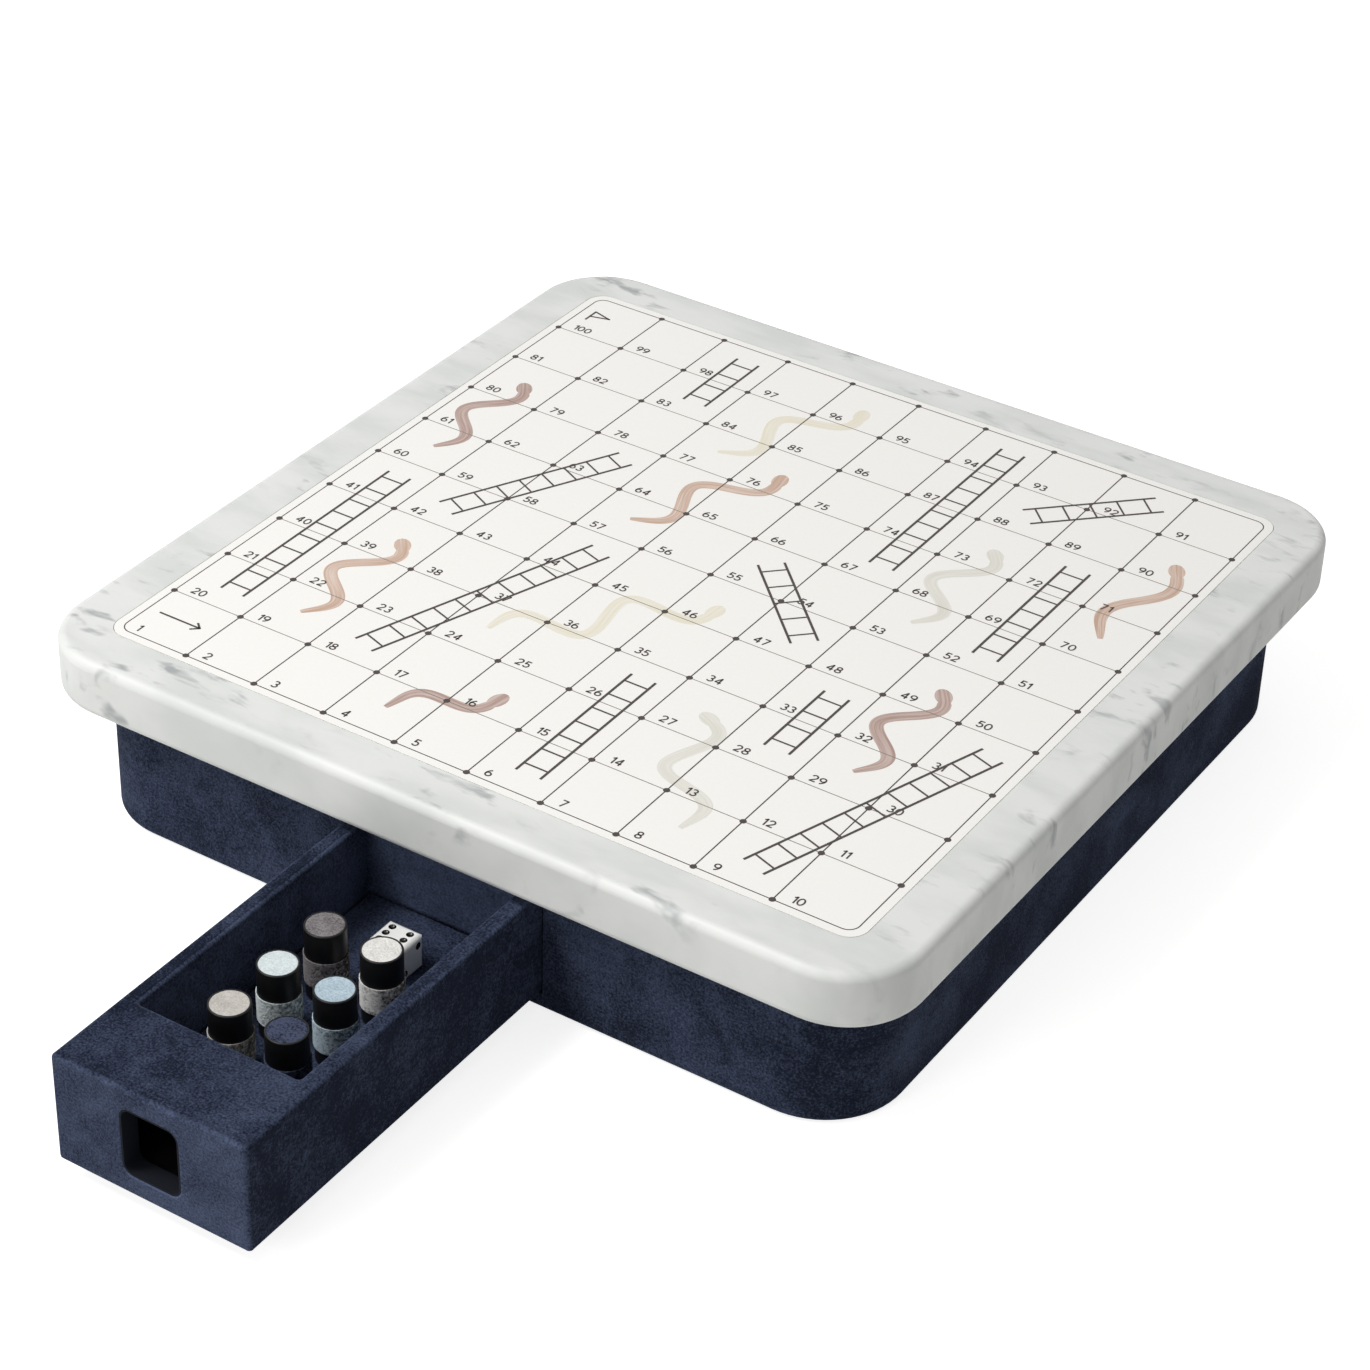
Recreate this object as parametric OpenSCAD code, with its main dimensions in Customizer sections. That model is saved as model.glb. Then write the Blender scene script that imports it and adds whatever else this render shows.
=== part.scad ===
// Table-top board for a race game: a marble slab with an inlaid playing panel, on a
// suede-covered box. A drawer slides out of the box's front and holds six pawns and a die.
// +Z is up, -Y is the drawer's side, and the origin is the middle of the underside.
// The drawer is drawn pulled out to its stop.

/* [Playing panel] */
// Side of one square of the grid
cell_w = 34.5; // [28:0.5:42]
// Squares along each side of the grid
cells = 10; // [8:1:10]
// Panel left outside the grid's frame line
panel_margin = 4; // [2:0.5:10]
// Thickness of the panel, and depth of its recess
panel_t = 1.5; // [1:0.1:3]
// Corner radius of the panel in plan
panel_corner_r = 8.5; // [3:0.5:20]
// Open joint round the panel
panel_gap = 0.3; // [0.1:0.1:1]

/* [Marble slab] */
// Marble left round the panel on each side
slab_border = 23.5; // [15:0.5:40]
// Thickness of the slab
slab_t = 25.6; // [18:0.2:36]
// Corner radius of the slab in plan
slab_corner_r = 34; // [20:1:50]
// Rounding of the upper arris
slab_top_r = 4; // [1:0.5:8]
// Rounding of the lower arris
slab_low_r = 4; // [1:0.5:8]
// How far the slab stands out past the base
slab_overhang = 14; // [6:1:24]

/* [Base box] */
// Corner radius of the base in plan
base_corner_r = 36; // [28:1:50]
// Rounding of the covered lower edge
base_low_r = 3; // [2:0.5:5]
// Thickness of the upright boards
wall_t = 15; // [10:1:20]
// Thickness of the floor board
floor_t = 6.3; // [5.6:0.1:12]
// Thickness of the deck panel under the slab
deck_t = 3.2; // [2:0.2:6]
// Thickness of the suede round the base
suede_t = 1.2; // [0.6:0.1:1.6]
// Width of suede turned in under the base
turn_under_w = 12; // [8:1:18]
// Thickness of the felt that the base stands on
felt_t = 1.8; // [1.7:0.1:4]
// Space between the turned-in suede and the felt
felt_gap = 0.8; // [0.2:0.1:2]
// Thickness of the boards that guide the drawer
guide_t = 12; // [8:1:18]

/* [Drawer] */
// Outside width of the drawer
drawer_w = 89; // [78:1:120]
// Length that stays in the base at the stop
drawer_tail = 62; // [50:1:90]
// Thickness of the drawer's side, front and back boards
board_t = 5.5; // [4:0.5:9]
// Thickness of the drawer's bottom board
bottom_t = 7.5; // [7.5:0.5:12]
// Thickness of the suede-covered tray floor
tray_floor_t = 5; // [1.5:0.5:6]
// Thickness of the cover board over the hollow front
cover_t = 6; // [4:0.5:10]
// Depth of the front from its face to the tray
front_d = 40; // [34:1:60]
// Thickness of the suede on the drawer
skin_t = 1; // [0.6:0.1:1.5]
// Rounding of the drawer's covered edges
drawer_edge_r = 2; // [0.5:0.1:2]
// Clearance on each side of the drawer
side_gap = 0.4; // [0.2:0.1:1]
// Running clearance under the drawer
run_gap = 0.3; // [0.2:0.1:0.8]
// Clearance over the drawer
top_gap = 0.7; // [0.3:0.1:2]
// Room left over the pawns
headroom = 4; // [2:0.5:15]
// Room from the tray's front wall to the first pawns' centres
pawn_setback = 22.5; // [14:0.5:40]
// Clear space between the last pawns and the die
die_gap = 8.3; // [2:0.1:20]
// Room behind the die
tray_back_room = 25.5; // [5:0.5:60]

/* [Finger pull] */
// Width of the hole in the drawer's front
pull_w = 27; // [20:0.5:34]
// Space between the finger hole and the nearer of the boards below and above it
pull_gap = 0.75; // [0.25:0.25:6]
// Corner radius of the hole
pull_corner_r = 5; // [2:0.5:9]
// Wall of the black ring that lines the hole
pull_ring_t = 0.8; // [0.6:0.1:2.5]
// How far the ring lies behind the face of the suede
pull_setback = 0.4; // [0.1:0.1:1]
// Length of the ring, which stands out behind the front board
pull_ring_l = 8.5; // [7.5:0.5:12]

/* [Drawer stop] */
// Diameter of the stop pin
pin_d = 6; // [4:0.5:8]
// Length of the pin below the drawer
pin_reach = 3.5; // [3:0.5:4]
// Depth of the pin in the bottom board
pin_seat = 6; // [4:0.5:7]
// Pin's axis from the drawer's rear end
pin_setback = 22; // [14:1:40]
// Clearance round the pin in its slot
slot_gap = 0.3; // [0.2:0.1:1]
// Clearance under the pin
slot_under = 0.5; // [0.3:0.1:1]
// Thickness of the felt that the closed drawer meets
stop_felt_t = 3; // [1.5:0.5:6]
// Height of that felt
stop_felt_h = 24; // [12:1:30]
// Width of that felt
stop_felt_w = 50; // [20:1:70]
// Thickness of the block behind the felt
stop_t = 15; // [8:1:25]
// Height of the block
stop_h = 32; // [26:1:45]

/* [Pawns] */
// Height of a pawn
pawn_h = 32; // [26:0.5:40]
// Diameter of the black core
pawn_d = 16.6; // [14:0.2:20]
// Rounding of the core's ends
pawn_edge_r = 0.5; // [0.2:0.1:1]
// Black rim left round the cap
cap_rim = 0.8; // [0.5:0.1:2]
// Thickness of the suede cap
cap_t = 0.8; // [0.6:0.1:1.5]
// Thickness of the suede band
band_t = 0.6; // [0.4:0.1:1.2]
// Height of the band
band_h = 12.4; // [8:0.2:15]
// Black foot left below the band
foot_h = 7; // [3:0.5:10]
// Distance between the two columns of pawns
pawn_pitch_x = 26.5; // [22:0.5:32]
// Distance between rows of pawns
pawn_pitch_y = 28.4; // [22:0.2:34]

/* [Die] */
// Side of the die
die_w = 16; // [13:0.5:19]
// Rounding of the die's edges
die_edge_r = 2.2; // [0.8:0.1:2.5]
// Diameter of a pip
pip_d = 3.2; // [2:0.1:3.6]
// Depth of a pip
pip_depth = 0.8; // [0.4:0.1:1.1]
// Outer pips' centres from the edge of the face
pip_inset = 3.8; // [3:0.1:4.5]
// Thickness of the black enamel in a pip
enamel_t = 0.15; // [0.1:0.05:0.3]

/* [Hidden] */
$fn = 64;
// Overrun of every cut
over = 1;
// Clearance of a glued or driven round fit
glue_gap = 0.05;
// Clearance under a piece that stands loose
seat_gap = 0.1;
pawn_names = ["beige", "ice", "mauve", "navy", "sky", "cream"];
pawn_colours = ["#CFC9C1", "#D9E2E3", "#8E8584", "#4A4E68", "#B9CFDB", "#E4E1DB"];
pawn_parts = ["core", "band", "cap"];
pawn_rows = 3;
board_colour = "#1E1C1B";
suede_colour = "#2E3450";

panel_w = cells * cell_w + 2 * panel_margin;
slab_w = panel_w + 2 * slab_border;
base_w = slab_w - 2 * slab_overhang;
core_w = base_w - 2 * suede_t;
core_r = base_corner_r - suede_t;
core_low_r = base_low_r - suede_t;
post_c = base_w / 2 - base_corner_r;
wall_in = core_w / 2 - wall_t;

band_d = pawn_d + 2 * band_t;
cap_d = pawn_d - 2 * cap_rim;
tray_l = pawn_setback + (pawn_rows - 1) * pawn_pitch_y + band_d / 2 + die_gap + die_w + tray_back_room;
drawer_h = skin_t + bottom_t + tray_floor_t + pawn_h + headroom;
drawer_out = front_d + tray_l;
drawer_l = drawer_out + drawer_tail;
tray_w = drawer_w - 2 * (board_t + 2 * skin_t);
inner_w = tray_w + 2 * skin_t;
board_h = drawer_h - 2 * skin_t;
front_in = skin_t + board_t;
tunnel_w = drawer_w + 2 * side_gap;

z_skirt = felt_t - suede_t;
z_floor = felt_t + floor_t;
z_drawer = z_floor + run_gap;
z_deck = z_drawer + drawer_h + top_gap;
base_h = z_deck + deck_t;
y_drawer = -base_w / 2 - drawer_out;
y_pin = y_drawer + drawer_l - pin_setback;
y_stop = y_drawer + drawer_l + drawer_out + slot_gap;

// Heights above the drawer's underside
z_bottom = skin_t + bottom_t;
z_tray = z_bottom + tray_floor_t;
z_skin = drawer_h - skin_t;
pull_h = drawer_h - 2 * (max(z_bottom, skin_t + cover_t) + pull_gap);

pip_r = (pip_d * pip_d / 4 + pip_depth * pip_depth) / (2 * pip_depth);
pip_at = die_w / 2 - pip_inset;
// Pips on each face, with the turn that brings the face up from the top
die_faces = [
    [6, [0, 0, 0]], [1, [180, 0, 0]], [2, [0, 90, 0]],
    [5, [0, -90, 0]], [3, [90, 0, 0]], [4, [-90, 0, 0]]
];

// Outlines and blocks that repeat

// A rectangle with round corners, centred on the origin
module round_rect(w, l, r) {
    square([w - 2 * r, l], center = true);
    square([w, l - 2 * r], center = true);
    for (x = [-1, 1])
        for (y = [-1, 1])
            translate([x * (w / 2 - r), y * (l / 2 - r)])
                circle(r);
}

// Edge section of a block: r deep from the corner's centre, with its arrises rounded
module edge_section(r, h, top_r, low_r) {
    translate([0, low_r]) square([r, h - top_r - low_r]);
    square([r - low_r, h - top_r]);
    translate([r - low_r, low_r]) circle(low_r);
    if (top_r > 0) {
        translate([0, low_r]) square([r - top_r, h - low_r]);
        translate([r - top_r, h - top_r]) circle(top_r);
    }
}

// Carries an edge section round a square of side w with corner radius r
module carry_round(w, r) {
    c = w / 2 - r;
    for (q = [0 : 3])
        rotate(90 * q)
            translate([c, c, 0]) {
                rotate_extrude(angle = 90) children();
                rotate([90, 0, 0]) linear_extrude(2 * c) children();
            }
}

// A square block with round corners and rounded arrises, standing on z = 0
module eased_block(w, r, h, top_r, low_r) {
    c = w / 2 - r;
    carry_round(w, r) edge_section(r, h, top_r, low_r);
    translate([-c, -c, 0]) cube([2 * c, 2 * c, h]);
}

// A box whose twelve edges are rounded, from its lowest corner
module eased_box(size, r) {
    translate(size / 2)
        intersection() {
            linear_extrude(size.z, center = true) round_rect(size.x, size.y, r);
            rotate([90, 0, 0]) linear_extrude(size.y, center = true) round_rect(size.x, size.z, r);
            rotate([90, 0, 90]) linear_extrude(size.x, center = true) round_rect(size.y, size.z, r);
        }
}

// A box centred in X, from y and z upwards
module bar(w, y, l, z, h) {
    translate([-w / 2, y, z]) cube([w, l, h]);
}

// Places a piece in the drawer: its front face at y = 0 and its underside at z = 0
module in_drawer() {
    translate([0, y_drawer, z_drawer]) children();
}

// Slab and panel

module marble_slab() {
    color("#DADBD8")
        translate([0, 0, base_h])
            difference() {
                eased_block(slab_w, slab_corner_r, slab_t, slab_top_r, slab_low_r);
                translate([0, 0, slab_t - panel_t])
                    linear_extrude(panel_t + over)
                        round_rect(panel_w + 2 * panel_gap, panel_w + 2 * panel_gap,
                                   panel_corner_r + panel_gap);
            }
}

module playing_panel() {
    color("#F5F3EE")
        translate([0, 0, base_h + slab_t - panel_t])
            linear_extrude(panel_t) round_rect(panel_w, panel_w, panel_corner_r);
}

// Base box

module deck_panel() {
    color(board_colour)
        translate([0, 0, z_deck]) linear_extrude(deck_t) round_rect(core_w, core_w, core_r);
}

// The floor board has the blind slot that the drawer's pin runs in
module floor_board() {
    slot_r = pin_d / 2 + slot_gap;
    slot_z = z_drawer - pin_reach - slot_under;
    slot_h = z_floor - slot_z + over;
    color(board_colour)
        difference() {
            translate([0, 0, felt_t]) eased_block(core_w, core_r, floor_t, 0, core_low_r);
            for (y = [y_pin, y_pin + drawer_out])
                translate([0, y, slot_z]) cylinder(r = slot_r, h = slot_h);
            bar(2 * slot_r, y_pin, drawer_out, slot_z, slot_h);
        }
}

module underside_felt() {
    inset = turn_under_w + felt_gap;
    color("#23263A")
        linear_extrude(felt_t)
            round_rect(base_w - 2 * inset, base_w - 2 * inset, base_corner_r - inset);
}

module side_wall(side) {
    color(board_colour)
        translate([side > 0 ? wall_in : -wall_in - wall_t, -post_c, z_floor])
            cube([wall_t, 2 * post_c, z_deck - z_floor]);
}

module back_wall() {
    color(board_colour) bar(2 * post_c, wall_in, wall_t, z_floor, z_deck - z_floor);
}

// Half of the front wall, from the drawer's opening to the corner post
module front_wall(side) {
    l = post_c - tunnel_w / 2;
    color(board_colour)
        translate([side > 0 ? tunnel_w / 2 : -post_c, -wall_in - wall_t, z_floor])
            cube([l, wall_t, z_deck - z_floor]);
}

// Quarter-round post that gives the base its round corner
module corner_post(side_x, side_y) {
    color(board_colour)
        translate([side_x * post_c, side_y * post_c, z_floor])
            linear_extrude(z_deck - z_floor)
                intersection() {
                    circle(core_r);
                    translate([side_x > 0 ? 0 : -core_r, side_y > 0 ? 0 : -core_r]) square(core_r);
                }
}

// Suede round the base, turned in under the floor and cut out for the drawer
module base_suede() {
    color(suede_colour)
        difference() {
            translate([0, 0, z_skirt])
                carry_round(base_w, base_corner_r)
                    difference() {
                        edge_section(base_corner_r, base_h - z_skirt, 0, base_low_r);
                        translate([0, suede_t])
                            edge_section(core_r, base_h - z_skirt, 0, core_low_r);
                        translate([-over, -over])
                            square([base_corner_r - turn_under_w + over, suede_t + 2 * over]);
                    }
            bar(tunnel_w, -base_w / 2 - over, suede_t + 2 * over, z_floor, z_deck - z_floor);
        }
}

// Upright board along the drawer's tunnel
module drawer_guide(side) {
    l = y_stop + stop_felt_t + stop_t + wall_in;
    color(board_colour)
        translate([side > 0 ? tunnel_w / 2 : -tunnel_w / 2 - guide_t, -wall_in, z_floor])
            cube([guide_t, l, z_deck - z_floor]);
}

module drawer_stop_block() {
    color(board_colour) bar(tunnel_w, y_stop + stop_felt_t, stop_t, z_floor, stop_h);
}

module drawer_stop_felt() {
    color("#23263A") bar(stop_felt_w, y_stop, stop_felt_t, z_floor + (stop_h - stop_felt_h) / 2, stop_felt_h);
}

// Drawer

// The hole of the finger pull, through a front that starts at y and is l thick
module pull_hole(y, l, inset) {
    translate([0, y, drawer_h / 2])
        rotate([-90, 0, 0])
            linear_extrude(l)
                round_rect(pull_w - 2 * inset, pull_h - 2 * inset, pull_corner_r - inset);
}

module drawer_front() {
    color(board_colour)
        in_drawer()
            difference() {
                bar(drawer_w - 2 * skin_t, skin_t, board_t, skin_t, board_h);
                pull_hole(skin_t - over, board_t + 2 * over, 0);
            }
}

module drawer_side(side) {
    color(board_colour)
        in_drawer()
            translate([side > 0 ? inner_w / 2 : -inner_w / 2 - board_t, front_in, skin_t])
                cube([board_t, drawer_l - front_in, board_h]);
}

module drawer_back() {
    color(board_colour) in_drawer() bar(inner_w, drawer_l - board_t, board_t, skin_t, board_h);
}

// The bottom board carries the stop pin in a blind hole from below
module drawer_bottom() {
    color(board_colour)
        in_drawer()
            difference() {
                bar(inner_w, front_in, drawer_l - front_in - board_t, skin_t, bottom_t);
                translate([0, drawer_l - pin_setback, skin_t - over])
                    cylinder(d = pin_d + 2 * glue_gap, h = pin_seat + over);
            }
}

// Board over the hollow behind the drawer's front
module drawer_cover() {
    color(board_colour)
        in_drawer() bar(inner_w, front_in, front_d - skin_t - front_in, z_skin - cover_t, cover_t);
}

module tray_front_wall() {
    color(board_colour)
        in_drawer()
            bar(inner_w, front_d - skin_t - board_t, board_t, z_bottom, z_skin - cover_t - z_bottom);
}

module tray_back_wall() {
    color(board_colour)
        in_drawer() bar(inner_w, drawer_out + skin_t, board_t, z_bottom, z_skin - z_bottom);
}

module tray_floor() {
    color(suede_colour) in_drawer() bar(tray_w, front_d, tray_l, z_bottom, tray_floor_t);
}

// Suede on the four inner walls of the tray
module tray_lining() {
    color(suede_colour)
        in_drawer()
            difference() {
                bar(inner_w, front_d - skin_t, tray_l + 2 * skin_t, z_bottom, z_skin - z_bottom);
                bar(tray_w, front_d, tray_l, z_bottom - over, z_skin - z_bottom + 2 * over);
            }
}

// Suede wrapped round the drawer: open over the tray and the tail, and at the rear end
module drawer_suede() {
    tail_y = drawer_out + skin_t + board_t;
    tail_l = drawer_l - board_t - tail_y;
    color(suede_colour)
        in_drawer()
            difference() {
                translate([-drawer_w / 2, 0, 0])
                    eased_box([drawer_w, drawer_l + 2 * drawer_edge_r, drawer_h], drawer_edge_r);
                bar(drawer_w + 2 * over, drawer_l, 2 * drawer_edge_r + over, -over, drawer_h + 2 * over);
                bar(drawer_w - 2 * skin_t, skin_t, drawer_l, skin_t, board_h);
                bar(tray_w, front_d, tray_l, z_bottom, drawer_h);
                bar(inner_w, tail_y, tail_l, z_bottom, drawer_h);
                pull_hole(-over, front_in, 0);
                translate([0, drawer_l - pin_setback, -over])
                    cylinder(d = pin_d + 2 * glue_gap, h = skin_t + 2 * over);
            }
}

// Black ring that lines the finger pull
module pull_ring() {
    color("#121316")
        in_drawer()
            difference() {
                pull_hole(pull_setback, pull_ring_l, glue_gap);
                pull_hole(pull_setback - over, pull_ring_l + 2 * over, pull_ring_t);
            }
}

module drawer_stop_pin() {
    color("#B9BABC")
        in_drawer()
            translate([0, drawer_l - pin_setback, -pin_reach])
                cylinder(d = pin_d, h = pin_reach + skin_t + pin_seat);
}

// Die

// Places a piece at the middle of the die
module at_die() {
    in_drawer()
        translate([0, drawer_out - tray_back_room - die_w / 2, z_tray + seat_gap + die_w / 2])
            children();
}

// Middles of n pips on a face, in steps of pip_at
function pip_steps(n) = concat(
    n % 2 == 1 ? [[0, 0]] : [],
    n > 1 ? [[-1, 1], [1, -1]] : [],
    n > 3 ? [[-1, -1], [1, 1]] : [],
    n > 5 ? [[-1, 0], [1, 0]] : []
);

// Repeats a piece at every pip, with the face at z = 0
module at_pips() {
    for (face = die_faces)
        rotate(face[1])
            for (step = pip_steps(face[0]))
                translate([step.x * pip_at, step.y * pip_at, die_w / 2]) children();
}

module die_body() {
    color("#F4F3F0")
        at_die()
            difference() {
                translate([-die_w / 2, -die_w / 2, -die_w / 2])
                    eased_box([die_w, die_w, die_w], die_edge_r);
                at_pips() translate([0, 0, pip_r - pip_depth]) sphere(pip_r);
            }
}

// Black enamel that lines the hollow of each pip
module die_pips() {
    color("#0E0E10")
        at_die()
            at_pips()
                intersection() {
                    translate([0, 0, pip_r - pip_depth])
                        difference() {
                            sphere(pip_r - glue_gap);
                            sphere(pip_r - glue_gap - enamel_t);
                        }
                    translate([0, 0, -pip_depth]) cylinder(d = pip_d, h = pip_depth);
                }
}

// Pawns

// Places a piece on the middle of pawn i's foot
module at_pawn(i) {
    column = i < pawn_rows ? -1 : 1;
    row = i % pawn_rows;
    in_drawer()
        translate([column * pawn_pitch_x / 2, front_d + pawn_setback + row * pawn_pitch_y, z_tray + seat_gap])
            children();
}

// Turned black core with a shallow recess for the cap
module pawn_core(i) {
    color("#141415")
        at_pawn(i)
            difference() {
                rotate_extrude()
                    edge_section(pawn_d / 2, pawn_h, pawn_edge_r, pawn_edge_r);
                translate([0, 0, pawn_h - cap_t]) cylinder(d = cap_d + 2 * glue_gap, h = cap_t + over);
            }
}

module pawn_band(i) {
    color(pawn_colours[i])
        at_pawn(i)
            translate([0, 0, foot_h])
                difference() {
                    cylinder(d = band_d, h = band_h);
                    translate([0, 0, -over]) cylinder(d = pawn_d + 2 * glue_gap, h = band_h + 2 * over);
                }
}

module pawn_cap(i) {
    color(pawn_colours[i])
        at_pawn(i) translate([0, 0, pawn_h - cap_t]) cylinder(d = cap_d, h = cap_t);
}

marble_slab();
playing_panel();
deck_panel();
floor_board();
underside_felt();
side_wall(-1);  // left_wall
side_wall(1);  // right_wall
back_wall();
front_wall(-1);  // front_wall_left
front_wall(1);  // front_wall_right
corner_post(-1, -1);  // corner_post_front_left
corner_post(1, -1);  // corner_post_front_right
corner_post(-1, 1);  // corner_post_back_left
corner_post(1, 1);  // corner_post_back_right
base_suede();
drawer_guide(-1);  // drawer_guide_left
drawer_guide(1);  // drawer_guide_right
drawer_stop_block();
drawer_stop_felt();
drawer_front();
drawer_side(-1);  // drawer_left_side
drawer_side(1);  // drawer_right_side
drawer_back();
drawer_bottom();
drawer_cover();
tray_front_wall();
tray_back_wall();
tray_floor();
tray_lining();
drawer_suede();
pull_ring();
drawer_stop_pin();
die_body();
die_pips();
for (i = [0 : len(pawn_names) - 1]) {
    pawn_core(i);
    pawn_band(i);
    pawn_cap(i);
}
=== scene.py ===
"""Looks of a snakes and ladders board: marble slab, printed panel, suede box, drawer, pawns and die."""
import logging
import math
from dataclasses import dataclass, field
from enum import Enum, IntEnum
from typing import Any, Iterable

import bmesh
import bpy
import numpy as np
from mathutils import Matrix, Vector


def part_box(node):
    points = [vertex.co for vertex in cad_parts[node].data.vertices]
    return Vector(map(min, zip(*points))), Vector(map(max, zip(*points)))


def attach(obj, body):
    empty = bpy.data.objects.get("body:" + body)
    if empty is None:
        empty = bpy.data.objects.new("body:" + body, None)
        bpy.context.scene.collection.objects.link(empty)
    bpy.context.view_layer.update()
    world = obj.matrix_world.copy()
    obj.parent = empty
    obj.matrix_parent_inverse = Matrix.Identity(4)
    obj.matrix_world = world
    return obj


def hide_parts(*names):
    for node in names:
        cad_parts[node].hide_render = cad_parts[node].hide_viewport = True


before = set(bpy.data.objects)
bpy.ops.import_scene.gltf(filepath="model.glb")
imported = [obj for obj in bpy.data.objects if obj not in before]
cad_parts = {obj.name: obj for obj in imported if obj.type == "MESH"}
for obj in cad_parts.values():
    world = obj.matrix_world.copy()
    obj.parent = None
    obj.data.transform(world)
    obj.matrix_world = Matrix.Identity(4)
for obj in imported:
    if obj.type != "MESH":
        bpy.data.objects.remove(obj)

LOG = logging.getLogger("board")
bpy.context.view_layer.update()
MM = 0.001
# Points nearer than this are joined where a mesh is welded
WELD = 0.001 * MM
# Sockets of a Mix node that mixes colours
MIX_FACTOR, MIX_A, MIX_B, MIX_RESULT = 0, 6, 7, 2
# Names of what the suede pieces carry at each point: how far an edge is paler, as wear and painted highlight,
# and how much painted light and shade lies on it, with random patches on the base's side
RUBBED_AND_HIGHLIGHT, PAINTED_LIGHT_AND_PATCHES = "rubbed_and_highlight", "brushed"
WHITE = (1.0, 1.0, 1.0, 1.0)
Rgba = tuple[float, float, float, float]
Pair = tuple[float, float]
Inputs = dict[str | int, Any]
Material = bpy.types.Material
Tree = bpy.types.NodeTree
Socket = bpy.types.NodeSocket


class Body(Enum):
    """Bodies that the new pieces ride on."""

    BOARD = "board"
    DRAWER = "drawer"


class Seed(IntEnum):
    """Fixed seeds of the uneven surfaces."""

    BASE_COVER = 3
    DRAWER_COVER = 5
    TRAY_LINING = 7
    TRAY_FLOOR = 9
    BAND_LUMPS = 11
    BAND_NAP = 12
    CAP_LUMPS = 13
    CAP_NAP = 14
    FELT = 15
    BRUSH_PATCHES = 17


def linear(colour: str) -> Rgba:
    """Linear colour of an sRGB hex value.

    Args:
        colour: six hex digits after a hash.

    Returns:
        Red, green, blue and a full alpha.
    """
    srgb = np.array([int(colour[i : i + 2], 16) for i in (1, 3, 5)]) / 255
    values = np.where(srgb <= 0.04045, srgb / 12.92, ((srgb + 0.055) / 1.055) ** 2.4)
    return (*values.tolist(), 1.0)


def per_mm(size: float) -> float:
    """Scale of a texture whose features are size millimetres wide."""
    return 1 / (size * MM)


def wire(tree: Tree, node: bpy.types.Node, inputs: Inputs) -> None:
    """Sets or links inputs of a node.

    Args:
        tree: tree that holds the node.
        node: the node.
        inputs: values, or output sockets to link, by input name or number.
    """
    for key, value in inputs.items():
        if isinstance(value, Socket):
            tree.links.new(value, node.inputs[key])
        else:
            node.inputs[key].default_value = value


def add_node(
    tree: Tree, kind: str, inputs: Inputs | None = None, output: str | int = 0, **settings: Any
) -> Socket:
    """Adds one node, sets it and links it.

    Args:
        tree: tree that takes the node.
        kind: type of the node, without the ShaderNode that it starts with.
        inputs: values, or output sockets to link, by input name or number.
        output: name or number of the output that is wanted.
        settings: the node's own properties.

    Returns:
        That output's socket.
    """
    node = tree.nodes.new(f"ShaderNode{kind}")
    for name, value in settings.items():
        setattr(node, name, value)
    wire(tree, node, inputs or {})
    return node.outputs[output]


@dataclass(frozen=True)
class Finish:
    """A real material and the way its surface was made."""

    name: str

    def make(self) -> Material:
        """New material with this finish.

        Returns:
            The material, named for what it is.
        """
        material = bpy.data.materials.new(self.name)
        material.use_nodes = True
        tree = material.node_tree
        wire(tree, tree.nodes["Principled BSDF"], self.surface(tree))
        return material

    def surface(self, tree: Tree) -> Inputs:
        """Adds the finish's nodes.

        Args:
            tree: the material's node tree.

        Returns:
            Values and sockets for the shader's inputs.
        """
        raise NotImplementedError


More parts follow.
